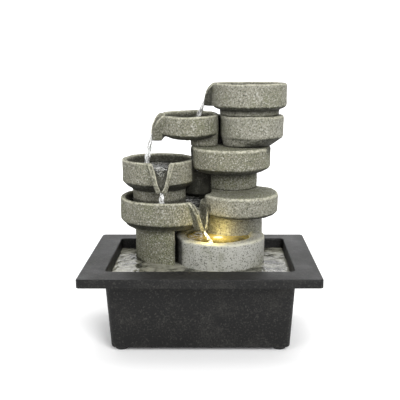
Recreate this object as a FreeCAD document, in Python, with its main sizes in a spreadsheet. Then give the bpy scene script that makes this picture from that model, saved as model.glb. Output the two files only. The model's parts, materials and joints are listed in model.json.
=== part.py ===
import FreeCAD, Part
import math
import os
import re

import Sketcher
from FreeCAD import Placement, Rotation, Vector

# Tabletop water fountain: a black plastic basin on rubber feet, a stack of cast stone bowls and
# drums that lifts out of it, and a submersible pump, riser hose and lamp hidden inside the stack.
#
# Frame, in millimetres: origin under the middle of the basin, at the height the feet stand on.
# +X to the right, +Y to the back, +Z up.

doc = FreeCAD.newDocument("fountain")

# ---------------------------------------------------------------- driving dimensions
SIZES = {
    # basin: a tapered tub with a wide flat rim
    "rim_width": 220, "rim_depth": 160, "rim_top": 79.5, "rim_skirt": 8, "rim_corner": 4,
    "foot_height": 3.5, "wall": 2, "draft": 3.4,
    "well_width": 173.8, "well_front": -55.1, "well_back": 61.3, "well_corner": 4, "rim_edge": 1.4,
    "foot_radius": 6.5, "foot_inset": 9.5, "foot_edge": 1,
    # cable grommet in the rear rim
    "grommet_x": 60, "grommet_width": 16, "grommet_wall": 0.7, "cable_bore": 3.1,
    # clearances
    "gap": 0.3, "seam": 0.4, "running": 0.05,
    # stone stack: centre, radius and heights of each casting
    "back_clear": 0.785, "shell": 5, "lip": 4.5, "round_over": 1.5, "lip_edge": 0.8,
    "dish_round": 3, "under_edge": 2,
    "pool_x": 18.8, "pool_y": 19.6, "pool_radius": 44.7, "pool_top": 96,
    "pool_inner": 31.5, "pool_floor": 84, "pool_inner_x": 16.8, "pool_web": 4,
    "arch_x": 0.8, "arch_width": 12, "arch_spring": 6,
    "pedestal_x": -23.8, "pedestal_y": 42, "pedestal_radius": 45, "pedestal_top": 104.5,
    "low_neck_x": 31.7, "low_neck_y": 54, "low_neck_radius": 31.8,
    "low_disc_x": 38.8, "low_disc_y": 25, "low_disc_radius": 38.7,
    "low_disc_base": 117, "low_disc_top": 138.4,
    "up_neck_x": 32.2, "up_neck_y": 53.5, "up_neck_radius": 25.7,
    "mid_drum_x": 29.6, "mid_drum_y": 38.5, "mid_drum_radius": 40.7,
    "mid_drum_base": 157.5, "mid_drum_edge": 162.2, "mid_drum_top": 183.3, "mid_drum_foot": 31,
    "up_drum_x": 51, "up_drum_y": 44, "up_drum_radius": 32.4, "up_drum_edge": 191.4, "up_drum_top": 214.3,
    "up_drum_foot": 24, "up_drum_foot_x": 46, "up_drum_foot_y": 42,
    "rear_column_x": -4, "rear_column_y": 48, "rear_column_radius": 15,
    "rear_post_x": 17, "rear_post_y": 58, "rear_post_radius": 9, "rear_post_top": 213,
    # bowls: centre, radius, rim height, wall height, hollow depth, the way the spout points, and how
    # far the spout hangs below the wall
    "top_x": 48.5, "top_y": 42, "top_radius": 37.3, "top_rim": 246, "top_wall": 24.4,
    "top_depth": 14, "top_foot": 30, "top_bevel": 1.5, "top_aim": 180, "top_drop": -2,
    "high_x": -12.6, "high_y": 42, "high_radius": 29.8, "high_rim": 215.3, "high_wall": 21,
    "high_depth": 13, "high_foot": 21, "high_bevel": 2.2, "high_base": 191, "high_aim": 192, "high_tilt": 2.6,
    "high_drop": 3, "high_post_x": 3, "high_post_radius": 14,
    "mid_x": -43.6, "mid_y": 40, "mid_radius": 37.6, "mid_rim": 170.4, "mid_wall": 24.4,
    "mid_depth": 15, "mid_foot": 27, "mid_bevel": 6, "mid_aim": 277, "mid_drop": 4,
    "low_x": -36.8, "low_y": 34, "low_radius": 46.1, "low_rim": 133, "low_wall": 24.6,
    "low_depth": 14, "low_foot": 41, "low_bevel": 2, "low_aim": 318, "low_drop": 4.5,
    # spouts, all one pattern
    "spout_top": 13.5, "spout_tip": 5.6, "spout_reach": 8.6, "spout_inner": 8.6,
    "spout_slot": 1.8, "spout_start": 8,
    # riser hose from the pump to the top bowl
    "riser_x": 34, "riser_y": 40, "hose_outer": 5.5, "hose_inner": 4.4, "hose_lift": 3,
    "nozzle_inner": 3, "nozzle_length": 13, "nipple_radius": 9, "nipple_height": 2, "nipple_length": 12,
    # pump
    "pump_left": 4, "pump_length": 36, "pump_front": 13, "pump_width": 32, "pump_height": 28,
    "cup_radius": 5, "cup_height": 3.5, "cup_inset": 6,
    "rotor_y": 28, "rotor_radius": 6, "rotor_length": 17, "rotor_start": 11,
    "shaft_radius": 1.2, "shaft_seat": 3, "chamber_radius": 11.5, "chamber_depth": 9,
    "blade_radius": 9, "blade_width": 6, "blade_thick": 1.2, "blade_inset": 1.8,
    "plate_thick": 1.6, "eye_radius": 4, "cover_depth": 4.5, "cover_wall": 2, "intake_slot": 1.8,
    "gland_radius": 4, "gland_length": 6, "gland_drop": 6,
    "dial_radius": 8, "dial_thick": 1.6, "dial_post": 2, "dial_tab": 3, "dial_window": 2.6,
    # lamp under the water of the lit pool
    "lamp_x": 16.8, "lamp_stem": 5, "lamp_shank": 10, "lamp_flange": 7.4, "lamp_flange_height": 2.2,
    "lens_radius": 5, "lens_height": 4.6, "nut_radius": 8.5, "nut_height": 3,
    "seal_height": 1.2, "board_thick": 1, "lead_radius": 1.5,
    "plug_radius": 3, "plug_height": 10, "socket_depth": 6, "socket_wall": 1.3,
}

sheet = doc.addObject("Spreadsheet::Sheet", "sizes")
for row, (alias, value) in enumerate(SIZES.items(), start=1):
    sheet.set(f"A{row}", alias)
    sheet.set(f"B{row}", str(value))
    sheet.setAlias(f"B{row}", alias)
doc.recompute()


# ---------------------------------------------------------------- helpers
def bound(expression):
    """The expression with each driving dimension written as its cell of the sheet."""
    def cell(word):
        return f"sizes.{word.group()}" if word.group() in SIZES else word.group()
    return re.sub(r"[a-z_]+", cell, str(expression))


def put(thing, at, turn=None):
    """Bind a thing's place, and its turn about Z, to the sheet."""
    for axis, expression in zip("xyz", at):
        thing.setExpression(f"Placement.Base.{axis}", bound(expression))
    if turn:
        thing.setExpression("Placement.Rotation.Angle", bound(turn))
    return thing


def cylinder(name, radius, height, at, axis="Z"):
    """A round bar along X, Y or Z that starts at the given place."""
    bar = doc.addObject("Part::Cylinder", name)
    turns = {"X": Rotation(Vector(0, 1, 0), 90), "Y": Rotation(Vector(1, 0, 0), -90), "Z": Rotation()}
    bar.Placement = Placement(Vector(), turns[axis])
    bar.setExpression("Radius", bound(radius))
    bar.setExpression("Height", bound(height))
    return put(bar, at)


def box(name, length, width, height, at):
    block = doc.addObject("Part::Box", name)
    for side, expression in (("Length", length), ("Width", width), ("Height", height)):
        block.setExpression(side, bound(expression))
    return put(block, at)


def fuse(name, *pieces):
    joined = doc.addObject("Part::MultiFuse", name)
    joined.Shapes = list(pieces)
    return joined


def common(name, *pieces):
    shared = doc.addObject("Part::MultiCommon", name)
    shared.Shapes = list(pieces)
    return shared


def cut(name, base, *tools):
    """The base with every tool taken away, one cut after another."""
    for count, tool in enumerate(tools, start=1):
        trimmed = doc.addObject("Part::Cut", name if count == len(tools) else f"{name}_trim_{count}")
        trimmed.Base = base
        trimmed.Tool = tool
        base = trimmed
    return base


PLANES = {
    "XZ": Rotation(Vector(1, 0, 0), 90),
    "YZ": Rotation(Vector(1, 1, 1), 120),
    "XY": Rotation(),
}


def polygon(name, plane, corners):
    """A closed outline of straight edges whose corners are bound to the sheet."""
    outline = doc.addObject("Sketcher::SketchObject", name)
    outline.Placement = Placement(Vector(), PLANES[plane])
    doc.recompute()
    places = [tuple(sheet_value(part) for part in corner) for corner in corners]
    count = len(corners)
    for index, place in enumerate(places):
        following = places[(index + 1) % count]
        outline.addGeometry(Part.LineSegment(Vector(*place, 0), Vector(*following, 0)))
    for index in range(count):
        outline.addConstraint(Sketcher.Constraint("Coincident", index, 2, (index + 1) % count, 1))
    for index, corner in enumerate(corners):
        for kind, part, value in zip(("DistanceX", "DistanceY"), corner, places[index]):
            which = outline.addConstraint(Sketcher.Constraint(kind, -1, 1, index, 1, value))
            outline.setExpression(f"Constraints[{which}]", bound(part))
    return outline


def sheet_value(expression):
    """What an expression comes to with the sheet as it stands."""
    return float(sheet.evalExpression(bound(expression)))


def turned(name, corners, at):
    """A solid turned about a vertical axis from a half outline of (radius, height) corners."""
    solid = doc.addObject("Part::Revolution", name)
    solid.Source = polygon(f"{name}_outline", "XZ", corners)
    solid.Axis = Vector(0, 0, 1)
    solid.Base = Vector(0, 0, 0)
    solid.Angle = 360
    solid.Solid = True
    return put(solid, at)


def slab(name, plane, corners, length, both_ways=False):
    """An outline carried straight along its plane's normal."""
    prism = doc.addObject("Part::Extrusion", name)
    prism.Base = polygon(f"{name}_outline", plane, corners)
    prism.DirMode = "Normal"
    prism.Solid = True
    prism.Symmetric = both_ways
    prism.setExpression("LengthFwd", bound(length))
    return prism


nodes = {}


def node(name, shape_object):
    """Name a finished piece: its label is the name of its file."""
    shape_object.Label = name
    nodes[name] = shape_object
    return shape_object


# ---------------------------------------------------------------- basin
def plane_sketch(body, name, height, rectangles):
    """A sketch on the body's XY plane, lifted to a height, of (x0, x1, y0, y1) rectangles."""
    flat = next(f for f in body.Origin.OriginFeatures if f.Role == "XY_Plane")
    outline = body.newObject("Sketcher::SketchObject", name)
    outline.AttachmentSupport = (flat, [""])
    outline.MapMode = "FlatFace"
    outline.setExpression("AttachmentOffset.Base.z", bound(height))
    doc.recompute()
    for left, right, front, back in rectangles:
        corners = [(left, front), (right, front), (right, back), (left, back)]
        first = outline.GeometryCount
        places = [tuple(sheet_value(part) for part in corner) for corner in corners]
        for index in range(4):
            ends = (Vector(*places[index], 0), Vector(*places[(index + 1) % 4], 0))
            outline.addGeometry(Part.LineSegment(*ends))
        for index in range(4):
            pair = (first + index, 2, first + (index + 1) % 4, 1)
            outline.addConstraint(Sketcher.Constraint("Coincident", *pair))
        for index, corner in enumerate(corners):
            for kind, part, value in zip(("DistanceX", "DistanceY"), corner, places[index]):
                which = outline.addConstraint(Sketcher.Constraint(kind, -1, 1, first + index, 1, value))
                outline.setExpression(f"Constraints[{which}]", bound(part))
    return outline


def feature(body, kind, name, outline, length, taper=None, reverse=False):
    """A pad or pocket of an outline, with its length and taper bound to the sheet."""
    step = body.newObject(kind, name)
    step.Profile = outline
    step.setExpression("Length", bound(length))
    step.Reversed = reverse
    if taper:
        step.setExpression("TaperAngle", bound(taper))
    doc.recompute()
    return step


def fillet(body, name, base, radius, wanted):
    """A fillet on the edges of the base that a test picks by their place."""
    edges = [f"Edge{i}" for i, edge in enumerate(base.Shape.Edges, start=1) if wanted(edge)]
    rounding = body.newObject("PartDesign::Fillet", name)
    rounding.Base = (base, edges)
    rounding.setExpression("Radius", bound(radius))
    doc.recompute()
    return rounding


def steep(edge):
    """True for an edge that climbs: a corner between two walls."""
    reach = edge.BoundBox
    return reach.ZLength > 3 * max(reach.XLength, reach.YLength)


TUB_HEIGHT = "(rim_top-foot_height)"
SPREAD = f"tan(draft)*{TUB_HEIGHT}"
TUB_BASE = (f"-well_width/2-wall+{SPREAD}", f"well_width/2+wall-{SPREAD}",
            f"well_front-wall+{SPREAD}", f"well_back+wall-{SPREAD}")
RIM = ("-rim_width/2", "rim_width/2", "-rim_depth/2", "rim_depth/2")
RIM_INSIDE = ("-rim_width/2+wall", "rim_width/2-wall", "-rim_depth/2+wall", "rim_depth/2-wall")
TUB_TOP = ("-well_width/2-wall", "well_width/2+wall", "well_front-wall", "well_back+wall")
WELL = ("-well_width/2", "well_width/2", "well_front", "well_back")

tub = doc.addObject("PartDesign::Body", "tub")
tub_base = plane_sketch(tub, "tub_base", "foot_height", [TUB_BASE])
walls = feature(tub, "PartDesign::Pad", "tub_walls", tub_base, TUB_HEIGHT, "draft")
walls = fillet(tub, "wall_corners", walls, "well_corner+wall", steep)
walls = fillet(tub, "floor_edge", walls, "rim_edge", lambda e: e.BoundBox.ZMax < SIZES["foot_height"] + 0.01)
rim_outline = plane_sketch(tub, "rim_outline", "rim_top", [RIM])
rim = feature(tub, "PartDesign::Pad", "rim", rim_outline, "rim_skirt", reverse=True)


def at_rim_corner(edge):
    return steep(edge) and abs(edge.BoundBox.Center.x) > SIZES["rim_width"] / 2 - 1


rim = fillet(tub, "rim_corners", rim, "rim_corner", at_rim_corner)
under_outline = plane_sketch(tub, "under_outline", "rim_top-rim_skirt", [RIM_INSIDE, TUB_TOP])
under = feature(tub, "PartDesign::Pocket", "under_rim", under_outline, "rim_skirt-wall", reverse=True)
well_outline = plane_sketch(tub, "well_outline", "rim_top", [WELL])
well = feature(tub, "PartDesign::Pocket", "well", well_outline, f"{TUB_HEIGHT}-wall", "-draft")


def in_well(edge):
    middle = edge.BoundBox.Center
    across = abs(middle.x) < SIZES["well_width"] / 2 + 0.5
    return steep(edge) and edge.BoundBox.ZLength > SIZES["rim_skirt"] * 2 and across


def on_rim_top(edge):
    return edge.BoundBox.ZMin > SIZES["rim_top"] - 0.01


well = fillet(tub, "well_corners", well, "well_corner", in_well)
rim_rounding = fillet(tub, "rim_rounding", well, "rim_edge", on_rim_top)
notch_outline = plane_sketch(tub, "notch_outline", "rim_top", [(
    "grommet_x-grommet_width/2", "grommet_x+grommet_width/2", "well_back-5", "rim_depth/2+5")])
GROMMET_DROP = "(2*cable_bore+2*grommet_wall)"
notch = feature(tub, "PartDesign::Pocket", "cable_notch", notch_outline, GROMMET_DROP)
tub.Tip = notch
node("basin", tub)

grommet_block = box("grommet_block", "grommet_width-2*running", "rim_depth/2-well_back",
                    f"{GROMMET_DROP}-running",
                    ("grommet_x-grommet_width/2+running", "well_back", f"rim_top-{GROMMET_DROP}"))
grommet_bore = cylinder("grommet_bore", "cable_bore", "rim_depth",
                        ("grommet_x", "well_back-5", f"rim_top-{GROMMET_DROP}/2"), "Y")
node("cable_grommet", cut("grommet", grommet_block, grommet_bore))

FOOT_X = f"(well_width/2+wall-{SPREAD}-foot_inset)"
FOOT_SPOTS = {
    "front_left": (f"-{FOOT_X}", f"well_front-wall+{SPREAD}+foot_inset"),
    "front_right": (FOOT_X, f"well_front-wall+{SPREAD}+foot_inset"),
    "rear_left": (f"-{FOOT_X}", f"well_back+wall-{SPREAD}-foot_inset"),
    "rear_right": (FOOT_X, f"well_back+wall-{SPREAD}-foot_inset"),
}
for spot, (x, y) in FOOT_SPOTS.items():
    foot = turned(f"foot_solid_{spot}", [
        ("0", "0"), ("foot_radius-foot_edge", "0"), ("foot_radius-0.4*foot_edge", "0.6*foot_edge"),
        ("foot_radius", "foot_height"), ("0", "foot_height")], (x, y, "0"))
    node(f"foot_{spot}", foot)


# ---------------------------------------------------------------- stone stack
STONE_BACK = f"(well_back-{SPREAD}-back_clear)"
STACK_BACK = "(rim_depth/2-2*gap)"
behind = box("behind_stone", "rim_width*2", "rim_depth", "top_rim*2", ("-rim_width", STONE_BACK, "0"))
past_rim = box("past_rim", "rim_width*2", "rim_depth", "top_rim*2", ("-rim_width", STACK_BACK, "0"))
riser_way = cylinder("riser_way", "hose_outer+seam", "top_rim-top_depth-pool_floor+10",
                     ("riser_x", "riser_y", "pool_floor-10"))


def bowl(key, base_drop, tilt=None):
    """A round bowl with a V spout, built pointing along +X with its rim at height 0, then aimed.

    The outline is a dished wall with a bevelled underside on a round foot. The spout is a wedge
    that leans out below the rim, with a V slot cut down through its middle.
    """
    radius, wall, depth = f"{key}_radius", f"{key}_wall", f"{key}_depth"
    foot, bevel = f"{key}_foot", f"{key}_bevel"
    dish = turned(f"{key}_dish", [
        ("0", f"-{depth}"), (f"{radius}-lip-dish_round", f"-{depth}"),
        (f"{radius}-lip", f"-{depth}+dish_round"), (f"{radius}-lip", "-lip_edge"),
        (f"{radius}-lip+lip_edge", "0"), (f"{radius}-round_over", "0"), (radius, "-round_over"),
        (f"{radius}-under_edge/2", f"-{wall}+under_edge/2"), (f"{radius}-under_edge", f"-{wall}"),
        (foot, f"-{wall}-{bevel}"), (foot, f"-{wall}-({base_drop})"),
        ("0", f"-{wall}-({base_drop})")], ("0", "0", "0"))
    tip = f"-{wall}-{key}_drop"
    lean = slab(f"{key}_spout_side", "XZ", [
        (f"{radius}-lip-1", "0"), (f"{radius}", "0"), (f"{radius}+0.4*spout_reach", "-3"),
        (f"{radius}+0.75*spout_reach", "-8"), (f"{radius}+spout_reach", f"-0.6*{wall}"),
        (f"{radius}+spout_reach", tip), (f"{radius}+0.4*spout_reach", tip),
        (f"{radius}-lip-1", f"-{wall}+2")], "4*spout_top", both_ways=True)
    taper = slab(f"{key}_spout_front", "YZ", [
        ("-spout_top", "0"), ("-spout_tip", tip), ("spout_tip", tip), ("spout_top", "0")],
        f"{radius}+2*spout_reach")
    spout = common(f"{key}_spout", lean, taper)
    chute = slab(f"{key}_chute", "XZ", [
        (f"{radius}-lip-6", "4"), (f"{radius}-lip-6", "-spout_start"),
        (f"{radius}-lip", "-spout_start-2"),
        (f"{radius}+0.3*spout_reach", f"-0.7*{wall}"), (f"{radius}+0.75*spout_reach", f"{tip}+4"),
        (f"{radius}+2*spout_reach", f"{tip}"), (f"{radius}+2*spout_reach", "4")],
        "4*spout_top", both_ways=True)
    slot = slab(f"{key}_slot", "YZ", [
        ("-spout_inner", "4"), ("-spout_inner", "0"),
        ("-spout_slot", f"{tip}+2"), ("-spout_slot", f"{tip}-1"),
        ("spout_slot", f"{tip}-1"), ("spout_slot", f"{tip}+2"),
        ("spout_inner", "0"), ("spout_inner", "4")],
        f"{radius}+3*spout_reach")
    open_way = common(f"{key}_open_way", chute, slot)
    cast = cut(f"{key}_cast", fuse(f"{key}_body", dish, spout), open_way)
    put(cast, ("0", "0", "0"), f"{key}_aim")
    seat = doc.addObject("Part::Compound", f"{key}_seat")
    seat.Links = [cast]
    put(seat, (f"{key}_x", f"{key}_y", f"{key}_rim"))
    if tilt:
        seat.Placement = Placement(seat.Placement.Base, Rotation(Vector(1, 0, 0), 1))
        seat.setExpression("Placement.Rotation.Angle", bound(tilt))
    return seat


def room(name, key_radius, x, y, low, high):
    """The space a round neighbour takes, grown by the seam between two castings."""
    return cylinder(name, f"{key_radius}+seam", f"({high})-({low})", (x, y, low))


low_cast = bowl("low", "low_rim-low_wall-pedestal_top")
mid_cast = bowl("mid", "mid_rim-mid_wall-low_rim+low_depth")
high_cast = bowl("high", "high_rim-high_wall-high_base", "high_tilt")
top_cast = bowl("top", "top_rim-top_wall-up_drum_top")

# the lit pool: a drum that stands on the basin floor over the pump, with the lamp in its hollow top
FLOOR = "(foot_height+wall)"
STONE_BASE = f"({FLOOR}+gap)"
pool_drum = turned("pool_drum", [
    ("0", STONE_BASE), ("pool_radius-1", STONE_BASE), ("pool_radius", "pool_top-2"),
    ("pool_radius-2", "pool_top"), ("0", "pool_top")], ("pool_x", "pool_y", "0"))
pool_hollow = common(
    "pool_hollow",
    cylinder("pump_room", "pool_radius-shell", "pool_floor-pool_web", ("pool_x", "pool_y", "0")),
    box("pump_room_back", "rim_width", f"{STONE_BACK}-shell+rim_depth", "pool_floor-pool_web",
        ("-rim_width/2", "-rim_depth", "0")))
neck_room = room("neck_room", "low_neck_radius", "low_neck_x", "low_neck_y", "0", "low_disc_base")
pool_water_room = cut(
    "pool_water_room",
    cylinder("pool_dish", "pool_inner", "rim_top", ("pool_inner_x", "pool_y", "pool_floor")), neck_room)
LAMP_REACH = "(low_neck_radius+seam+lamp_flange+gap)"
LAMP_Y = f"(low_neck_y-sqrt({LAMP_REACH}^2-(low_neck_x-lamp_x)^2))"
lamp_hole = cylinder("lamp_hole", "lamp_stem+running", "rim_top", ("lamp_x", LAMP_Y, "pool_floor-rim_top/2"))
cable_arch = fuse(
    "cable_arch",
    box("arch_foot", "arch_width", "4*shell", f"arch_spring+{FLOOR}",
        ("arch_x-arch_width/2", f"{STONE_BACK}-2*shell", "0")),
    cylinder("arch_crown", "arch_width/2", "4*shell",
             ("arch_x", f"{STONE_BACK}-2*shell", f"arch_spring+{FLOOR}"), "Y"))
node("lit_pool", cut("lit_pool_cast", pool_drum, behind, pool_hollow, pool_water_room, lamp_hole,
                     riser_way, cable_arch))

pool_room = room("pool_room", "pool_radius", "pool_x", "pool_y", "0", "top_rim")
pedestal_drum = cylinder("pedestal_drum", "pedestal_radius", f"pedestal_top-{STONE_BASE}",
                         ("pedestal_x", "pedestal_y", STONE_BASE))
pedestal_hollow = cut(
    "pedestal_hollow",
    common("pedestal_inside",
           cylinder("pedestal_core", "pedestal_radius-shell", "pedestal_top-shell",
                    ("pedestal_x", "pedestal_y", "0")),
           box("pedestal_core_back", "2*rim_width", f"{STONE_BACK}-shell+rim_depth", "pedestal_top",
               ("-rim_width", "-rim_depth", "0"))),
    cylinder("pedestal_web", "pool_radius+shell+seam", "pedestal_top", ("pool_x", "pool_y", "0")))
node("pedestal", cut("pedestal_cast", pedestal_drum, behind, pool_room, neck_room, pedestal_hollow))

node("lower_bowl", cut("lower_bowl_cast", low_cast, past_rim))
low_bowl_room = room("low_bowl_room", "low_radius", "low_x", "low_y",
                     "low_rim-low_wall-low_drop-1", "low_disc_top+1")

low_neck = cylinder("low_neck", "low_neck_radius", "low_disc_base-pool_top",
                    ("low_neck_x", "low_neck_y", "pool_top"))
node("lower_neck", cut("lower_neck_cast", low_neck, behind, low_bowl_room, riser_way))

low_disc = turned("low_disc", [
    ("0", "0"), ("low_disc_radius-3", "0"), ("low_disc_radius-0.8", "3"),
    ("low_disc_radius", "low_disc_top-low_disc_base-round_over"),
    ("low_disc_radius-round_over", "low_disc_top-low_disc_base"), ("0", "low_disc_top-low_disc_base")],
    ("low_disc_x", "low_disc_y", "low_disc_base"))
node("lower_disc", cut("lower_disc_cast", low_disc, low_bowl_room, low_cast, riser_way))

up_neck = cylinder("up_neck", "up_neck_radius", "mid_drum_base-low_disc_top",
                   ("up_neck_x", "up_neck_y", "low_disc_top"))
node("upper_neck", cut("upper_neck_cast", up_neck, behind, riser_way))

mid_drum = turned("mid_drum", [
    ("0", "mid_drum_base"), ("mid_drum_foot", "mid_drum_base"), ("mid_drum_radius-2", "mid_drum_edge-1"),
    ("mid_drum_radius-0.8", "mid_drum_edge+1"), ("mid_drum_radius", "mid_drum_top-round_over"),
    ("mid_drum_radius-round_over", "mid_drum_top"), ("0", "mid_drum_top")],
    ("mid_drum_x", "mid_drum_y", "0"))
node("middle_drum", cut("middle_drum_cast", mid_drum, riser_way))

mid_drum_room = room("mid_drum_room", "mid_drum_radius", "mid_drum_x", "mid_drum_y",
                     "mid_drum_base-seam", "mid_drum_top")
node("middle_bowl", cut("middle_bowl_cast", mid_cast, mid_drum_room))


def ring(name, radius, at):
    """A level circle for a loft."""
    circle = doc.addObject("Part::Circle", name)
    circle.setExpression("Radius", bound(radius))
    return put(circle, at)


drum_taper = doc.addObject("Part::Loft", "drum_taper")
drum_taper.Sections = [
    ring("drum_foot", "up_drum_foot", ("up_drum_foot_x", "up_drum_foot_y", "mid_drum_top")),
    ring("drum_edge", "up_drum_radius-1.5", ("up_drum_x", "up_drum_y", "up_drum_edge"))]
drum_taper.Solid = True
drum_taper.Ruled = True
up_drum = turned("up_drum", [
    ("0", "up_drum_edge"), ("up_drum_radius-1.5", "up_drum_edge"), ("up_drum_radius-0.6", "up_drum_edge+1.2"),
    ("up_drum_radius", "up_drum_top-round_over"), ("up_drum_radius-round_over", "up_drum_top"),
    ("0", "up_drum_top")], ("up_drum_x", "up_drum_y", "0"))
node("upper_drum", cut("upper_drum_cast", fuse("upper_drum_body", up_drum, drum_taper), riser_way))

high_post = cylinder("high_post", "high_post_radius", "high_rim-high_depth-4-mid_drum_top",
                     ("high_post_x", "high_y", "mid_drum_top"))
up_drum_room = room("up_drum_room", "up_drum_radius", "up_drum_x", "up_drum_y", "mid_drum_top", "top_rim")
node("upper_bowl", cut("upper_bowl_cast", fuse("upper_bowl_body", high_cast, high_post), up_drum_room))

node("top_bowl", cut("top_bowl_cast", top_cast, past_rim, riser_way))

# two rear castings that tie the bowls on the left to the column on the right
low_disc_room = room("low_disc_room", "low_disc_radius", "low_disc_x", "low_disc_y",
                     "low_rim", "low_disc_top")
up_neck_room = room("up_neck_room", "up_neck_radius", "up_neck_x", "up_neck_y", "low_rim", "mid_drum_base")
MID_UNDER = "mid_rim-mid_wall-mid_bevel"
mid_bowl_room = room("mid_bowl_room", "mid_radius", "mid_x", "mid_y", MID_UNDER, "mid_drum_top")
mid_foot_room = room("mid_foot_room", "mid_foot", "mid_x", "mid_y", "low_rim", MID_UNDER)
high_bowl_room = room("high_bowl_room", "high_radius", "high_x", "high_y", "mid_drum_top", "top_rim")
rear_column = cylinder("rear_column_bar", "rear_column_radius", "mid_drum_base-low_rim",
                       ("rear_column_x", "rear_column_y", "low_rim"))
node("rear_column", cut("rear_column_cast", rear_column, behind, low_disc_room, up_neck_room,
                        mid_bowl_room, mid_foot_room))
rear_post = cylinder("rear_post_bar", "rear_post_radius", "rear_post_top-mid_drum_top",
                     ("rear_post_x", "rear_post_y", "mid_drum_top"))
node("rear_post", cut("rear_post_cast", rear_post, up_drum_room, high_bowl_room))


# ---------------------------------------------------------------- pump
PUMP_BASE = f"({FLOOR}+cup_height)"
PUMP_TOP = f"({PUMP_BASE}+pump_height)"
PUMP_RIGHT = "(pump_left+pump_length)"
ROTOR_Z = f"({PUMP_BASE}+pump_height/2)"
CHAMBER_X = f"({PUMP_RIGHT}-chamber_depth)"


def on_rotor_axis(name, radius, start, length):
    return cylinder(name, radius, length, (start, "rotor_y", ROTOR_Z), "X")


pump_block = box("pump_block", "pump_length", "pump_width", "pump_height",
                 ("pump_left", "pump_front", PUMP_BASE))
NOZZLE_TOP = f"({PUMP_TOP}+nozzle_length)"
HOSE_BASE = f"({PUMP_TOP}+hose_lift)"
nozzle = cylinder("nozzle", "hose_inner-gap", f"{NOZZLE_TOP}-{ROTOR_Z}", ("riser_x", "riser_y", ROTOR_Z))
socket = cylinder("lamp_socket", "plug_radius+gap+socket_wall", "socket_depth+2",
                  ("lamp_x", LAMP_Y, f"{PUMP_TOP}-1"))
node("pump_housing", cut(
    "pump_housing_cast", fuse("pump_housing_body", pump_block, nozzle, socket),
    on_rotor_axis("rotor_bore", "rotor_radius+0.5", "rotor_start", "pump_length-rotor_start+pump_left"),
    on_rotor_axis("chamber", "chamber_radius", CHAMBER_X, "chamber_depth+1"),
    on_rotor_axis("shaft_socket", "shaft_radius", "rotor_start-shaft_seat", "shaft_seat+1"),
    cylinder("nozzle_way", "nozzle_inner", f"{NOZZLE_TOP}-{ROTOR_Z}+1", ("riser_x", "riser_y", ROTOR_Z)),
    cylinder("socket_bore", "plug_radius+gap", "socket_depth+2", ("lamp_x", LAMP_Y, f"{PUMP_TOP}+1"))))

node("impeller_shaft", on_rotor_axis("shaft", "shaft_radius", "rotor_start-shaft_seat",
                                     f"{PUMP_RIGHT}-rotor_start+shaft_seat-2"))

hub = on_rotor_axis("impeller_hub", "rotor_radius/2", "rotor_start+0.5",
                    f"{CHAMBER_X}-rotor_start+blade_width+0.5")
web = on_rotor_axis("impeller_web", "blade_radius", f"{CHAMBER_X}+0.5", "1")
BLADES = 6
blades = []
for index in range(BLADES):
    turn = 360 * index / BLADES
    blade = box(f"blade_{index + 1}", "blade_width", "blade_radius-2", "blade_thick",
                (f"{CHAMBER_X}+1", "rotor_y", ROTOR_Z))
    blade.Placement = Placement(Vector(), Rotation(Vector(1, 0, 0), turn))
    across, up = math.cos(math.radians(turn)), math.sin(math.radians(turn))
    put(blade, (f"{CHAMBER_X}+1", f"rotor_y+blade_inset*{across:.4f}", f"{ROTOR_Z}+blade_inset*{up:.4f}"))
    blades.append(blade)
running_bore = on_rotor_axis("impeller_bore", "shaft_radius+running", "rotor_start", "pump_length")
node("impeller", cut("impeller_cast", fuse("impeller_body", hub, web, *blades), running_bore))
magnet_sleeve = on_rotor_axis("magnet_sleeve", "rotor_radius", "rotor_start+0.5", "rotor_length")
magnet_hole = on_rotor_axis("magnet_hole", "rotor_radius/2", "rotor_start", "rotor_length+2")
node("rotor_magnet", cut("magnet", magnet_sleeve, magnet_hole))

plate = on_rotor_axis("plate", "chamber_radius-running", f"{PUMP_RIGHT}-plate_thick", "plate_thick")
plate_eye = on_rotor_axis("plate_eye", "eye_radius", f"{PUMP_RIGHT}-3", "6")
node("chamber_plate", cut("chamber_plate_cut", plate, plate_eye))

COVER_X = f"({PUMP_RIGHT}+gap)"
cover_block = box("cover_block", "cover_depth", "pump_width", "pump_height",
                  (COVER_X, "pump_front", PUMP_BASE))
cover_hollow = box("cover_hollow", "cover_depth-cover_wall+1",
                   "pump_width-2*cover_wall", "pump_height-2*cover_wall",
                   (f"{COVER_X}-1", "pump_front+cover_wall", f"{PUMP_BASE}+cover_wall"))
cover_post = on_rotor_axis("cover_post", "dial_post", f"{COVER_X}+cover_depth-1", "dial_thick+2")
SLOTS = 6
SLOT_PITCH = f"(pump_width-2*cover_wall-2-intake_slot)/{SLOTS - 1}"
slots = [box(f"intake_slot_{index + 1}", "3*cover_depth", "intake_slot", "pump_height-3*cover_wall",
             (COVER_X, f"pump_front+cover_wall+1+{index}*{SLOT_PITCH}", f"{PUMP_BASE}+1.5*cover_wall"))
         for index in range(SLOTS)]
strainer = cut("strainer", cut("cover_shell", cover_block, cover_hollow), fuse("intake_slots", *slots))
post_web = on_rotor_axis("post_web", "dial_post+1", f"{COVER_X}+cover_depth-cover_wall", "cover_wall")
node("pump_cover", fuse("pump_cover_body", strainer, post_web, cover_post))

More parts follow.
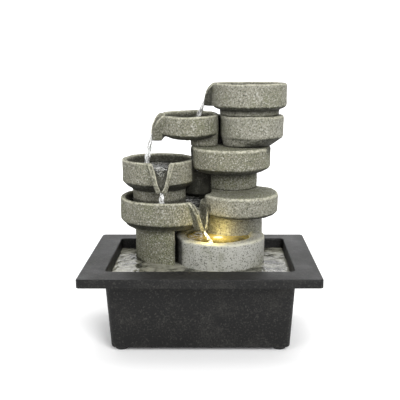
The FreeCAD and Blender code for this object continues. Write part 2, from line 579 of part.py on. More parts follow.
DIAL_X = f"({COVER_X}+cover_depth+gap)"
dial_disc = on_rotor_axis("dial_disc", "dial_radius", DIAL_X, "dial_thick")
dial_tab = box("dial_tab", "dial_thick", "dial_tab", "dial_radius+dial_tab",
               (DIAL_X, "rotor_y-dial_tab/2", ROTOR_Z))
dial_window = box("dial_window", "3*dial_thick", "dial_radius", "dial_window",
                  (f"{DIAL_X}-1", "rotor_y+dial_post+1", f"{ROTOR_Z}-2*dial_post"))
dial_hole = on_rotor_axis("dial_hole", "dial_post+running", f"{DIAL_X}-1", "3*dial_thick")
node("flow_dial", cut("flow_dial_cut", fuse("flow_dial_body", dial_disc, dial_tab), dial_window, dial_hole))

cup_spots = [(x, y) for x in ("pump_left+cup_inset", f"{PUMP_RIGHT}-cup_inset")
             for y in ("pump_front+cup_inset", "pump_front+pump_width-cup_inset")]
for number, (x, y) in enumerate(cup_spots, start=1):
    cup = turned(f"cup_{number}", [
        ("0", "0"), ("cup_radius", "0"), ("cup_radius-1", "1"), ("cup_radius/2", "cup_height-1"),
        ("cup_radius/2", "cup_height"), ("0", "cup_height")], (x, y, FLOOR))
    node(f"suction_cup_{number}", cup)

gland_body = cylinder("gland_body", "gland_radius", "gland_length",
                      ("pump_left-gland_length", "rotor_y", f"{PUMP_TOP}-gland_drop"), "X")
gland_bore = cylinder("gland_bore", "cable_bore-seam", "gland_length+2",
                      ("pump_left-gland_length-1", "rotor_y", f"{PUMP_TOP}-gland_drop"), "X")
node("pump_gland", cut("gland", gland_body, gland_bore))

# ---------------------------------------------------------------- riser and lamp
TOP_FLOOR = "(top_rim-top_depth)"
hose_wall = cylinder("hose_wall", "hose_outer", f"{TOP_FLOOR}-{HOSE_BASE}-1",
                     ("riser_x", "riser_y", HOSE_BASE))
hose_way = cylinder("hose_way", "hose_inner", "top_rim", ("riser_x", "riser_y", f"{HOSE_BASE}-1"))
node("riser_hose", cut("riser_hose_tube", hose_wall, hose_way))

nipple_stem = cylinder("nipple_stem", "hose_inner", "nipple_length",
                       ("riser_x", "riser_y", f"{TOP_FLOOR}-nipple_length"))
nipple_rim = cylinder("nipple_rim", "nipple_radius", "nipple_height", ("riser_x", "riser_y", TOP_FLOOR))
nipple_way = cylinder("nipple_way", "nozzle_inner", "2*nipple_length+2*nipple_height",
                      ("riser_x", "riser_y", f"{TOP_FLOOR}-nipple_length-1"))
nipple_body = fuse("outlet_nipple_body", nipple_stem, nipple_rim)
node("outlet_nipple", cut("outlet_nipple_cut", nipple_body, nipple_way))


def on_lamp_axis(name, radius, start, height):
    return cylinder(name, radius, height, ("lamp_x", LAMP_Y, start))


LAMP_BASE = "(pool_floor-lamp_shank)"
FLANGE_Z = "(pool_floor+seal_height)"
LENS_Z = f"({FLANGE_Z}+lamp_flange_height)"
BOARD_Z = f"({FLANGE_Z}+0.6)"
lamp_body = fuse("lamp_body", on_lamp_axis("lamp_shank", "lamp_stem", LAMP_BASE, f"{LENS_Z}-{LAMP_BASE}"),
                 on_lamp_axis("lamp_collar", "lamp_flange", FLANGE_Z, "lamp_flange_height"))
node("lamp_housing", cut("lamp_housing_cut", lamp_body,
                         on_lamp_axis("lamp_cup", "lens_radius-1", BOARD_Z, "lamp_shank"),
                         on_lamp_axis("lead_way", "lead_radius+running", f"{LAMP_BASE}-1",
                                      "3*lamp_shank")))
node("lamp_board", on_lamp_axis("board", "lens_radius-1-running", BOARD_Z, "board_thick"))
lens = turned("lens", [
    ("0", "0"), ("lens_radius", "0"), ("lens_radius", "0.2*lens_height"),
    ("lens_radius*0.87", "lens_height*0.6"), ("lens_radius*0.5", "lens_height*0.92"), ("0", "lens_height")],
    ("lamp_x", LAMP_Y, LENS_Z))
node("lamp_lens", lens)
node("lamp_seal", cut("seal", on_lamp_axis("seal_disc", "lamp_flange-0.6", "pool_floor", "seal_height"),
                      on_lamp_axis("seal_hole", "lamp_stem+running", "pool_floor-1", "3*seal_height")))
NUT_BASE = "(pool_floor-pool_web-nut_height)"
node("lamp_nut", cut("nut", on_lamp_axis("nut_disc", "nut_radius", NUT_BASE, "nut_height"),
                     on_lamp_axis("nut_hole", "lamp_stem+running", f"{NUT_BASE}-1", "nut_height+2")))
PLUG_BASE = f"({PUMP_TOP}+1+gap)"
PLUG_TOP = f"({PLUG_BASE}+plug_height)"
node("lamp_plug", on_lamp_axis("plug", "plug_radius", PLUG_BASE, "plug_height"))
node("lamp_lead", on_lamp_axis("lead", "lead_radius", PLUG_TOP, f"{BOARD_Z}-{PLUG_TOP}"))


# ---------------------------------------------------------------- build and write
doc.recompute()
for thing in doc.Objects:
    faults = [state for state in thing.State if state in ("Invalid", "Error")]
    if faults:
        raise RuntimeError(f"{thing.Name} failed: {faults}")
os.makedirs("parts", exist_ok=True)
for name, thing in nodes.items():
    shape = thing.Shape
    if shape.isNull() or not shape.isValid() or not shape.Solids:
        raise RuntimeError(f"{name} has no valid solid")
for name, thing in nodes.items():
    thing.Shape.exportStep(f"parts/{name}.step")
    print(f"{name:18s} solids {len(thing.Shape.Solids)}  volume {thing.Shape.Volume / 1000:8.2f} cm3")
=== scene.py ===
"""Looks of the tabletop water fountain: cast stone, black basin, water, streams and the lamp's glow.

The pieces' sizes are in millimetres and carried to metres where a mesh is made. Materials, lights and the
camera are in metres.
"""
import json
import math

import bpy
import numpy as np
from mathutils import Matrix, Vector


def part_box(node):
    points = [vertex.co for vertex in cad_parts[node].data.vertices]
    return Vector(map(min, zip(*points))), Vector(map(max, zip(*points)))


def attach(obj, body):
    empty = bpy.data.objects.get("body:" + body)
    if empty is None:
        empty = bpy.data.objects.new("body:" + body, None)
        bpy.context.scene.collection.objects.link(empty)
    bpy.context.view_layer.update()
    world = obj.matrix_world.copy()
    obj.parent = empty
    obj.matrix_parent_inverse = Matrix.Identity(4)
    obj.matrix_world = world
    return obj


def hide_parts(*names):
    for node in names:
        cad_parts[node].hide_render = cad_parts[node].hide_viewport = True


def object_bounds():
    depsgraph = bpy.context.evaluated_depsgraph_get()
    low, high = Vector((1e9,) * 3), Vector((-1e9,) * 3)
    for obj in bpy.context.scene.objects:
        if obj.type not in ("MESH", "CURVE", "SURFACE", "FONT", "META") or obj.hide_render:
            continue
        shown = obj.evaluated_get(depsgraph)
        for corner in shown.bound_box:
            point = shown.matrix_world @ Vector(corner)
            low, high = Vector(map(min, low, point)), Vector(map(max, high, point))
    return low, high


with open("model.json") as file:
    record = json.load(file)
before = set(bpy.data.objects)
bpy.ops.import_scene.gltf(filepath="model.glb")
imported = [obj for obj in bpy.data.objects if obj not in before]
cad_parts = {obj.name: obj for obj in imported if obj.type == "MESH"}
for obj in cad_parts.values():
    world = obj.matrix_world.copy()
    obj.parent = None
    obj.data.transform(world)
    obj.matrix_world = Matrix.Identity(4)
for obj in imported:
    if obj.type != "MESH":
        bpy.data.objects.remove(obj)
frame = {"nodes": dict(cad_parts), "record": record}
cad_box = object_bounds()

MM = 0.001
FAR = 1e4
nodes = frame["nodes"]
scene = bpy.context.scene


def middle_of(node):
    """The middle of a CAD node's box, in millimetres."""
    return np.mean(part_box(node), axis=0) / MM


# ---------------------------------------------------------------- the castings' places
# Each casting is a circle in plan: x, y and radius, with the heights of its base and its top.
WATER_Z = 69.5
BASIN_WATER = dict(half_width=86.1, front=-54.3, back=60.4)
BACK = 56.0
NECK_BACK = BACK - 1.3
REAR_LIMIT = 79.3
WALL_SEAM = 0.4
STONE_FLOOR = 5.8
POOL = dict(x=18.8, y=19.6, radius=44.7, top=96.0)
POOL_DISH = dict(x=16.8, y=19.6, radius=31.5, floor=84.0, water=92.6)
GROOVE = dict(x=18.8, y=19.6, radius=49.7)
PEDESTAL = dict(x=-23.8, y=42.0, radius=45.0, base=STONE_FLOOR, top=104.5)
LOW_NECK = dict(x=31.7, y=54.0, radius=31.8, base=83.0, top=117.2)
LOW_DISC = dict(x=38.8, y=25.0, radius=38.7, base=117.0, top=138.4)
UP_NECK = dict(x=32.2, y=53.5, radius=25.7, base=138.2, top=157.7)
MID_DRUM = dict(x=29.6, y=38.5, radius=40.7, base=157.5, top=183.3)
UP_DRUM = dict(x=51.0, y=44.0, radius=32.4, base=183.3, top=214.3)
LAMP = middle_of("lamp_lens")

# A bowl's rim is its top and wall its height; foot and bevel shape its underside, and depth is its dish's.
# aim is the way its spout points and tilt how far it leans, in degrees. water is its level below the rim,
# drop how far its spout hangs below its wall, leave where the water leaves the spout, as a share of the
# spout's height, and flow how wide its stream is.
BOWLS = {
    "top_bowl": dict(x=48.5, y=42, radius=37.3, rim=246.0, wall=24.4, depth=14, foot=30, bevel=1.5,
                     base=214.3, aim=180, tilt=0.0, water=8.0, drop=-2.0, leave=0.72, flow=0.85),
    "upper_bowl": dict(x=-12.6, y=42, radius=29.8, rim=215.3, wall=21.0, depth=13, foot=21, bevel=2.2,
                       base=191.0, aim=192, tilt=2.6, water=7.6, drop=5.0, leave=0.75, flow=1.0),
    "middle_bowl": dict(x=-43.6, y=40, radius=37.6, rim=170.4, wall=24.4, depth=15, foot=27, bevel=6.0,
                        base=119.0, aim=277, tilt=0.0, water=8.4, drop=4.0, leave=0.95, flow=0.66),
    "lower_bowl": dict(x=-36.8, y=34, radius=46.1, rim=133.0, wall=24.6, depth=14, foot=41, bevel=2.0,
                       base=104.5, aim=318, tilt=0.0, water=7.2, drop=4.5, leave=0.92, flow=0.5),
}
REAR_COLUMN = dict(x=-4.0, y=48.0, radius=15.0, base=133.0, top=157.5)
MIDDLE_FOOT = dict(x=-43.6, y=40.0, radius=27.0)
REAR_POST = dict(x=17.0, y=58.0, radius=9.0, base=183.3, top=213.0)
UPPER_POST = dict(x=3.0, y=42.0, radius=14.0, base=183.1, top=197.0)

# How pale each casting is, how mossy, how much painted shade darkens the sides of its spout, and how much
# painted shade darkens it behind a gap.
TONES = {"top_bowl": 0.12, "upper_bowl": 0.04, "middle_bowl": 0.05, "lower_bowl": 0.02, "lit_pool": 0.86,
         "pedestal": 0.0, "lower_disc": 0.12, "upper_neck": 0.1, "middle_drum": 0.0, "upper_drum": 0.17,
         "lower_neck": 0.22, "rear_column": 0.0, "rear_post": 0.0}
MOSSY = {"pedestal": 0.6, "upper_neck": 0.6, "upper_bowl": 0.2, "lower_bowl": 0.15, "middle_drum": 0.2}
FLANK_SHADE = {"top_bowl": 0.85, "upper_bowl": 0.3, "middle_bowl": 0.15, "lower_bowl": 0.55}
# The rear posts are painted nearly black all over: painted shade for the dark gaps behind the bowls.
BACK_SHADE = {"rear_column": 0.95, "rear_post": 0.95}
# The round neighbour whose seam darkens a casting with painted shade, and how far from the seam the painted
# shade reaches.
SEAMS = {"pedestal": (GROOVE, 1.2), "lit_pool": (PEDESTAL, 2.5), "lower_disc": (BOWLS["lower_bowl"], 2.0),
         "middle_drum": (BOWLS["middle_bowl"], 2.0), "upper_drum": (BOWLS["upper_bowl"], 2.5),
         "upper_bowl": (UP_DRUM, 2.5), "middle_bowl": (MID_DRUM, 1.5), "lower_bowl": (LOW_DISC, 1.5)}

# A bowl's lip is LIP thick. top and tip are half the spout's width at the rim and at the tip, inner and
# slot half its channel's, reach how far it leans out, and start the channel's depth where it begins.
LIP = 4.5
SPOUT = dict(top=13.5, tip=5.6, inner=8.6, slot=1.8, reach=8.6, start=8.0)

# How softly a casting's corners are eased, how uneven its skin is, and the size of a remade bowl's faces.
EASE = 1.6
UNEVEN = 0.42
BOWL_EASE = 1.2
BOWL_UNEVEN = 0.38
VOXEL = 0.85


# ---------------------------------------------------------------- mesh helpers
def waves(points, wavelength, count, seed):
    """The sum of `count` sine waves in seeded directions, each about a wavelength long, over count's root."""
    rng = np.random.default_rng(seed)
    ways = rng.normal(size=(count, 3))
    ways /= np.linalg.norm(ways, axis=1)[:, None]
    rates = 2 * np.pi / (wavelength * rng.uniform(0.7, 1.4, count))
    shifts = rng.uniform(0, 2 * np.pi, count)
    return np.sin(points @ (ways * rates[:, None]).T + shifts).mean(axis=1) * math.sqrt(count)


def smooth(value):
    """0 below 0, 1 above 1, and 3v^2 - 2v^3 between."""
    value = np.clip(value, 0, 1)
    return value * value * (3 - 2 * value)


def rounded(corners, soft, step=1.0):
    """Straight runs through the corners, each corner eased by a parabola, sampled evenly along the way."""
    corners = np.array(corners, float)
    path = [corners[0]]
    for before, corner, after in zip(corners[:-2], corners[1:-1], corners[2:]):
        back, ahead = before - corner, after - corner
        reach_back, reach_ahead = np.linalg.norm(back), np.linalg.norm(ahead)
        start = corner + back / reach_back * min(soft, 0.45 * reach_back)
        end = corner + ahead / reach_ahead * min(soft, 0.45 * reach_ahead)
        share = np.linspace(0, 1, 9)[:, None]
        path.extend((1 - share) ** 2 * start + 2 * share * (1 - share) * corner + share ** 2 * end)
    path = np.array(path + [corners[-1]])
    run = np.concatenate([[0], np.cumsum(np.linalg.norm(np.diff(path, axis=0), axis=1))])
    at = np.linspace(0, run[-1], max(4, int(run[-1] / step)))
    return np.stack([np.interp(at, run, path[:, axis]) for axis in range(path.shape[1])], axis=1)


def mesh_piece(name, points, faces):
    """A mesh object from points in millimetres and faces as arrays of point numbers."""
    mesh = bpy.data.meshes.new(name)
    mesh.from_pydata((points * MM).tolist(), [], [face for group in faces for face in group.tolist()])
    mesh.polygons.foreach_set("use_smooth", np.ones(len(mesh.polygons), bool))
    mesh.update()
    piece = bpy.data.objects.new(name, mesh)
    scene.collection.objects.link(piece)
    return piece


def skin(name, rows):
    """Closed rings of points (rings, around, 3) joined by quads, with a pole point at each end.

    Rings that run counterclockwise seen from above and climb give faces that point outwards.
    """
    ring_count, around = rows.shape[:2]
    grid = np.arange(ring_count * around).reshape(ring_count, around)
    side = np.roll(grid, -1, axis=1)
    quads = np.stack([grid[:-1], side[:-1], side[1:], grid[1:]], axis=-1).reshape(-1, 4)
    points = np.concatenate([rows.reshape(-1, 3), [rows[0].mean(axis=0), rows[-1].mean(axis=0)]])
    base, tip = len(points) - 2, len(points) - 1
    under = np.stack([np.full(around, base), side[0], grid[0]], axis=-1)
    over = np.stack([grid[-1], side[-1], np.full(around, tip)], axis=-1)
    return mesh_piece(name, points, [quads, under, over])


def exit_reach(centre, turn, circle):
    """How far a ray from a place inside a circle runs before it leaves the circle."""
    away = np.array([centre[0] - circle["x"], centre[1] - circle["y"]])
    along = np.cos(turn) * away[0] + np.sin(turn) * away[1]
    return -along + np.sqrt(np.maximum(along ** 2 - away @ away + circle["radius"] ** 2, 0))


def entry_reach(centre, turn, circle):
    """How far a ray runs before it meets a circle it starts outside of; very far where it misses."""
    away = np.array([centre[0] - circle["x"], centre[1] - circle["y"]])
    along = np.cos(turn) * away[0] + np.sin(turn) * away[1]
    inside = along ** 2 - away @ away + (circle["radius"] + WALL_SEAM) ** 2
    meets = (inside > 0) & (along < 0)
    return np.where(meets, -along - np.sqrt(np.maximum(inside, 0)), FAR)


def back_reach(centre, turn, back):
    """How far a ray runs before it meets a flat back."""
    rise = np.sin(turn)
    return np.where(rise > 1e-4, (back - centre[1]) / np.maximum(rise, 1e-4), FAR)


def soft_least(*reaches):
    """The least of several reaches, eased where two cross: a high negative power's mean."""
    power = 160.0
    return sum(reach ** -power for reach in reaches) ** (-1 / power)


def even_turns(reach_of, count):
    """`count` directions spaced so that an outline's points sit evenly along it."""
    fine = np.linspace(0, 2 * np.pi, 4001)
    reach = reach_of(fine)
    x, y = reach * np.cos(fine), reach * np.sin(fine)
    run = np.concatenate([[0], np.cumsum(np.hypot(np.diff(x), np.diff(y)))])
    return np.interp(np.linspace(0, run[-1], count, endpoint=False), run, fine)


def roughen(points, amount, seed):
    """Move points by a slow swell, a finer one and chips, each a sum of sine waves along X, Y and Z."""
    shift = np.stack([
        waves(points, 26, 9, seed + axis) * 0.55 + waves(points, 8, 11, seed + 7 + axis) * 0.25
        + waves(points, 3.2, 13, seed + 17 + axis) * 0.16 for axis in range(3)], axis=1)
    return points + shift * amount


def drum(name, centre, reach_of, profile, seed, lean=None, count=260):
    """A casting whose outline is carried up a profile of (inset from the outline, height) corners.

    The profile runs from the middle of the underside to the middle of the top. lean is (shift in X,
    shift in Y, low, high): the outline slides by that much between the high and the low height.
    """
    turn = even_turns(reach_of, count)
    reach = reach_of(turn)
    path = rounded(profile, EASE)
    inset, height = path[:, 0][:, None], path[:, 1][:, None]
    radius = np.maximum(reach[None, :] - inset, 0.02 * reach[None, :])
    x = centre[0] + radius * np.cos(turn)
    y = centre[1] + radius * np.sin(turn)
    if lean:
        share = np.clip((lean[3] - height) / (lean[3] - lean[2]), 0, 1)
        x, y = x + share * lean[0], y + share * lean[1]
    rows = np.stack([x, y, np.broadcast_to(height, x.shape)], axis=-1)
    return skin(name, roughen(rows.reshape(-1, 3), UNEVEN, seed).reshape(rows.shape))


# ---------------------------------------------------------------- castings
OVERHANGS = [(circle, circle["base"]) for circle in (LOW_DISC, MID_DRUM, UP_DRUM)]
OVERHANGS += [(bowl, bowl["rim"] - bowl["wall"]) for bowl in BOWLS.values()]


def outside(place, circle):
    """How far each place is outside a circle seen from above, and below 0 inside it."""
    return np.hypot(place[:, 0] - circle["x"], place[:, 1] - circle["y"]) - circle["radius"]


def overhang_shade(place):
    """How much painted shade darkens a place under a casting's overhang, where the overhang's shadow falls.

    It falls off as a bell curve of the distance below the overhang, and within a few millimetres of
    the overhang's outline.
    """
    shade = np.zeros(len(place))
    for circle, base in OVERHANGS:
        below = base - place[:, 2]
        inside = -outside(place, circle)
        here = np.exp(-(np.maximum(below, 0) / 6.5) ** 2) * smooth((inside - 0.5) / 5.0) * (below > -0.6)
        shade = np.maximum(shade, here)
    return shade


def foot_shade(place):
    """A dark line of painted contact shade at a casting's foot: it dies away with the height above it."""
    height = place[:, 2] - place[:, 2].min()
    return np.exp(-height / 1.6)


def seam_shade(place, circle, reach):
    """Painted shade beside the seam with a round neighbour, where the gap lies in shadow.

    It dies away with the distance from the neighbour's outline, and towards the flat back.
    """
    shade = np.exp(-(np.maximum(outside(place, circle), 0) / reach) ** 1.5)
    return shade * smooth((BACK - 3 - place[:, 1]) / 8)


def flank_shade(place, name):
    """1 where a bowl's spout leans out beyond its wall, times how much painted shade darkens that spout's
    sides, which turn away from the light.
    """
    bowl = BOWLS[name]
    tip = bowl["rim"] - bowl["wall"] - bowl["drop"]
    return FLANK_SHADE[name] * smooth(outside(place, bowl) / 2.0) * (place[:, 2] > tip - 3)


def dish_wet_and_shade(place):
    """1 inside a bowl's dish and its channel, below the rim, and 0 elsewhere."""
    wet = np.zeros(len(place))
    for bowl in BOWLS.values():
        below = bowl["rim"] - place[:, 2]
        dish = smooth((0.7 - LIP - outside(place, bowl)) / 0.8) * smooth((below - 0.8) / 3.0)
        wet = np.maximum(wet, dish * (below < bowl["depth"] + 2))
        turn = math.radians(bowl["aim"])
        along = (place[:, 0] - bowl["x"]) * math.cos(turn) + (place[:, 1] - bowl["y"]) * math.sin(turn)
        side = np.abs((place[:, 1] - bowl["y"]) * math.cos(turn) - (place[:, 0] - bowl["x"]) * math.sin(turn))
        fall = np.clip(below / (bowl["wall"] + bowl["drop"]), 0, 1)
        half = SPOUT["inner"] + (SPOUT["slot"] - SPOUT["inner"]) * fall ** 0.9
        channel = smooth((half + 0.9 - side) / 0.9) * smooth((below - 1.5) / 4.0)
        near = (along > bowl["radius"] - LIP - 2) & (along < bowl["radius"] + SPOUT["reach"] + 2)
        wet = np.maximum(wet, channel * near * (below < bowl["wall"] + bowl["drop"] + 1))
    return wet


def finish_stone(piece, node_name, tone):
    """Mark a casting's pale edges, its wet and mossy places and its painted shade, and give it its stone,
    body and slot.

    An edge is where the normals spread: pale where it is proud, as wear and as a painted highlight, and
    hollow where it is a corner, where shade is painted. tone is how pale the whole casting is, from 0 to 1.
    """
    name = node_name or ""
    mesh = piece.data
    count = len(mesh.vertices)
    place = np.zeros(count * 3)
    normal = np.zeros(count * 3)
    mesh.vertices.foreach_get("co", place)
    mesh.vertices.foreach_get("normal", normal)
    place, normal = place.reshape(-1, 3) / MM, normal.reshape(-1, 3)
    pairs = np.zeros(len(mesh.edges) * 2, int)
    mesh.edges.foreach_get("vertices", pairs)
    one, other = pairs.reshape(-1, 2).T
    along = place[other] - place[one]
    length = np.maximum(np.linalg.norm(along, axis=1), 1e-6)
    bend_one = -(along * normal[one]).sum(axis=1) / length
    bend_other = (along * normal[other]).sum(axis=1) / length

    def spread(at_one, at_other):
        """The mean over each point's edges."""
        total = np.bincount(one, at_one, count) + np.bincount(other, at_other, count)
        return total / np.maximum(np.bincount(one, minlength=count) + np.bincount(other, minlength=count), 1)

    bend = spread(bend_one, bend_other)
    bend = 0.4 * bend + 0.6 * spread(bend[other], bend[one])
    # Pale proud edges that face up or sideways: part wear, part painted highlight.
    worn_and_highlit = smooth((bend - 0.035) / 0.10) * smooth((normal[:, 2] + 0.25) / 0.5)
    hollow = smooth((-bend - 0.03) / 0.12)
    under = smooth((-normal[:, 2] - 0.1) / 0.6)
    splash = smooth((WATER_Z + 16 - place[:, 2]) / 20)
    level = smooth((normal[:, 2] - 0.6) / 0.3)
    # Moss tint from splashes, level tops and each casting's moss, plus painted shade on undersides and in
    # hollows.
    damp_and_shade = np.clip(0.6 * under + 0.6 * hollow + 0.8 * splash + 0.7 * level + MOSSY.get(name, 0.0), 0, 1)
    damp_and_shade *= 1 - 0.5 * (name == "lit_pool")
    # Painted shade: under overhangs, along each casting's foot and on its undersides, beside seams, behind
    # the bowls, on spout flanks and in the dishes.
    painted_shade = np.maximum(overhang_shade(place), 0.85 * foot_shade(place))
    painted_shade = np.maximum(painted_shade, 0.9 * smooth((-normal[:, 2] - 0.3) / 0.3))
    if name in SEAMS:
        painted_shade = np.maximum(painted_shade, 0.9 * seam_shade(place, *SEAMS[name]))
    painted_shade = np.maximum(painted_shade, BACK_SHADE.get(name, 0.0))
    worn_and_highlit = worn_and_highlit * (1 - painted_shade)
    if name in FLANK_SHADE:
        painted_shade = np.maximum(painted_shade, flank_shade(place, name) * (1 - worn_and_highlit))
    painted_shade *= 1 - 0.7 * level
    # The dishes and channels darken as wet stone and as painted shade in the recess; hollows add painted
    # shade.
    painted_shade = np.clip(np.maximum(painted_shade, 0.75 * dish_wet_and_shade(place)) + 0.3 * hollow, 0, 1)
    bleached = np.full(count, tone)
    for label, values in (("worn_and_highlit", worn_and_highlit), ("damp_and_shade", damp_and_shade), ("painted_shade", painted_shade), ("bleached", bleached)):
        layer = mesh.attributes.new(label, "FLOAT", "POINT")
        layer.data.foreach_set("value", values.astype(np.float32))
    mesh.materials.clear()
    mesh.materials.append(materials["cast_stone"])
    if node_name:
        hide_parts(node_name)
    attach(piece, "stone_stack")
    return piece


def spout_solid(name, bowl):
    """The wedge of a spout: level sections from the rim to the tip, each a rounded block.

    Half its width falls from `top` to `tip`; its front leans out by `reach`, most of it in the upper half.
    """
    radius, wall = bowl["radius"], bowl["wall"]
    tip_z = -wall - bowl["drop"]
    height = np.linspace(0, 1, 44)
    lean = np.interp(height, [0, 0.06, 0.2, 0.42, 0.7, 1], [-0.6, 1.6, 4.6, 7.2, 8.4, SPOUT["reach"]])
    half = SPOUT["top"] + (SPOUT["tip"] - SPOUT["top"]) * height
    back = radius - LIP - 1.0 + 4.0 * smooth((height - 0.75) / 0.25)
    front = radius + lean
    turn = np.linspace(0, 2 * np.pi, 72, endpoint=False)
    squareness = 0.34
    cos = np.sign(np.cos(turn)) * np.abs(np.cos(turn)) ** squareness
    sin = np.sign(np.sin(turn)) * np.abs(np.sin(turn)) ** squareness
    middle, deep = (front + back) / 2, (front - back) / 2
    x = middle[:, None] + deep[:, None] * cos
    y = half[:, None] * sin
    z = (tip_z * height)[:, None] + 0 * x
    rows = np.stack([x, y, z], axis=-1)[::-1]
    return skin(name, rows)


def spout_way(name, bowl):
    """The V channel that is cut from a spout: sections across the flow, from the dish to past the tip.

    Each is a V whose half width falls from `inner` at the rim to `slot` at the tip's height.
    """
    radius, wall = bowl["radius"], bowl["wall"]
    tip_z = -wall - bowl["drop"]
    reach = SPOUT["reach"]
    out = np.linspace(radius - LIP - 6, radius + 2 * reach, 60)
    floor = np.interp(out, [radius - LIP - 6, radius - LIP, radius + 0.3 * reach, radius + 0.75 * reach,
                            radius + 2 * reach],
                      [-SPOUT["start"], -SPOUT["start"] - 2, -0.7 * wall, tip_z + 3.4, tip_z - 1])
    above = 5.0
    level = np.linspace(0, 1, 24)
    depth = above + (floor[:, None] - above) * level
    fall = np.clip(depth / (tip_z + 2), 0, 1)
    half = SPOUT["inner"] + (SPOUT["slot"] - SPOUT["inner"]) * fall ** 0.9
    half = half + 2.2 * smooth((depth + 2.2) / 3.5)
    half = half * (1 - 0.35 * smooth((level - 0.86) / 0.14))
    left = np.stack([np.broadcast_to(out[:, None], half.shape), half, depth], axis=-1)
    right = np.stack([np.broadcast_to(out[:, None], half.shape), -half, depth], axis=-1)[:, ::-1]
    return skin(name, np.concatenate([left, right], axis=1)[:, ::-1])


def seat(points, bowl):
    """Turn points from a bowl's own frame, spout along +X and rim at 0, to its place in the stack."""
    turn, tilt = math.radians(bowl["aim"]), math.radians(bowl["tilt"])
    x = points[:, 0] * math.cos(turn) - points[:, 1] * math.sin(turn)
    y = points[:, 0] * math.sin(turn) + points[:, 1] * math.cos(turn)
    z = points[:, 2]
    return np.stack([x + bowl["x"], y * math.cos(tilt) - z * math.sin(tilt) + bowl["y"],
                     y * math.sin(tilt) + z * math.cos(tilt) + bowl["rim"]], axis=1)


def mesh_points(mesh):
    """A mesh's points, in millimetres."""
    place = np.zeros(len(mesh.vertices) * 3)
    mesh.vertices.foreach_get("co", place)
    return place.reshape(-1, 3) / MM


def bowl_casting(name, bowl, seed, tone):
    """A bowl with its V spout: a turned dish, joined with a wedge and cut by a channel, then softened.

    The dish is a half outline turned about Z. The joined shape is remade in even faces so that every
    edge is rounded by about a millimetre, as an edge of a casting is, and roughened by sine waves.
    """
    radius, wall, depth, foot = bowl["radius"], bowl["wall"], bowl["depth"], bowl["foot"]
    base = bowl["base"] - bowl["rim"]
    turn = np.linspace(0, 2 * np.pi, 200, endpoint=False)
    outline = rounded([
        (1.0, base), (foot, base), (foot, -wall - bowl["bevel"]), (radius - 2.2, -wall),
        (radius, -wall + 2.6), (radius, 0), (radius - LIP, 0), (radius - LIP - 0.6, -depth + 3),
        (radius - LIP - 4, -depth), (1.0, -depth)], BOWL_EASE, step=1.4)
    r, z = outline[:, 0][:, None], outline[:, 1][:, None]
    rows = np.stack([r * np.cos(turn), r * np.sin(turn), np.broadcast_to(z, (len(r), len(turn)))], axis=-1)
    dish = skin(name, rows)
    wedge = spout_solid(f"{name}_wedge", bowl)
    way = spout_way(f"{name}_way", bowl)
    for tool, operation in ((wedge, "UNION"), (way, "DIFFERENCE")):
        join = dish.modifiers.new(operation.lower(), "BOOLEAN")
        join.operation = operation
        join.object = tool
        join.solver = "EXACT"
    remake = dish.modifiers.new("remake", "REMESH")
    remake.mode = "VOXEL"
    remake.voxel_size = VOXEL * MM
    soften = dish.modifiers.new("soften", "SMOOTH")
    soften.factor = 0.5
    soften.iterations = 3
    settled = dish.evaluated_get(bpy.context.evaluated_depsgraph_get())
    final = bpy.data.meshes.new_from_object(settled)
    dish.modifiers.clear()
    dish.data = final
    for tool in (wedge, way):
        bpy.data.objects.remove(tool)
    final.name = name
    points = seat(mesh_points(final), bowl)
    points = roughen(points, BOWL_UNEVEN, seed)
    points[:, 1] = np.minimum(points[:, 1], REAR_LIMIT)
    points[:, 2] = np.minimum(points[:, 2], cad_box[1][2] / MM)
    final.vertices.foreach_set("co", (points * MM).ravel())
    final.polygons.foreach_set("use_smooth", np.ones(len(final.polygons), bool))
    final.update()
    return finish_stone(dish, name, tone)


# ---------------------------------------------------------------- material helpers
def put_node(tree, kind, settings=None, **inputs):
    """A shader node with its settings made and its inputs filled with numbers or linked to sockets."""
    made = tree.nodes.new(kind)
    for name, value in (settings or {}).items():
        setattr(made, name, value)
    for name, value in inputs.items():
        socket = made.inputs[int(name[1:])] if name[0] == "i" and name[1:].isdigit() else made.inputs[name]
        if isinstance(value, bpy.types.NodeSocket):
            tree.links.new(value, socket)
        else:
            socket.default_value = value
    return made


def noise(tree, place, scale, detail=3.0, rough=0.55):
    """A noise pattern, its scale in features per metre."""
    return put_node(tree, "ShaderNodeTexNoise", Vector=place, Scale=scale, Detail=detail,
                    Roughness=rough).outputs["Fac"]


def between(tree, value, low, high, to_low=0.0, to_high=1.0):
    """The value carried from one range to another and held at its ends."""
    return put_node(tree, "ShaderNodeMapRange", {"interpolation_type": "SMOOTHSTEP"}, i0=value, i1=low,
                    i2=high, i3=to_low, i4=to_high).outputs[0]


def maths(tree, operation, one, other):
    """Two values put through one operation."""
    return put_node(tree, "ShaderNodeMath", {"operation": operation}, i0=one, i1=other).outputs[0]


def mixed(tree, share, one, other):
    """Two colours mixed by a share."""
    return put_node(tree, "ShaderNodeMix", {"data_type": "RGBA"}, i0=share, i6=one, i7=other).outputs[2]


def start_group(name, values, colours):
    """A shader group that takes a place, numbers and colours and gives a finish, and its two ends."""
    group = bpy.data.node_groups.new(name, "ShaderNodeTree")
    inputs = [("Place", "Vector"), *values, *((colour, "Color") for colour in colours)]
    for label, kind in inputs:
        group.interface.new_socket(label, in_out="INPUT", socket_type=f"NodeSocket{kind}")
    for label, kind in (("Color", "Color"), ("Roughness", "Float"), ("Height", "Float")):
        group.interface.new_socket(label, in_out="OUTPUT", socket_type=f"NodeSocket{kind}")
    return group, group.nodes.new("NodeGroupInput"), group.nodes.new("NodeGroupOutput")


def rgb(red, green, blue):
    """A colour given as screen values from 0 to 255, in the shader's linear light."""
    shown = np.array([red, green, blue]) / 255
    return (*np.where(shown <= 0.04045, shown / 12.92, ((shown + 0.055) / 1.055) ** 2.4).tolist(), 1.0)


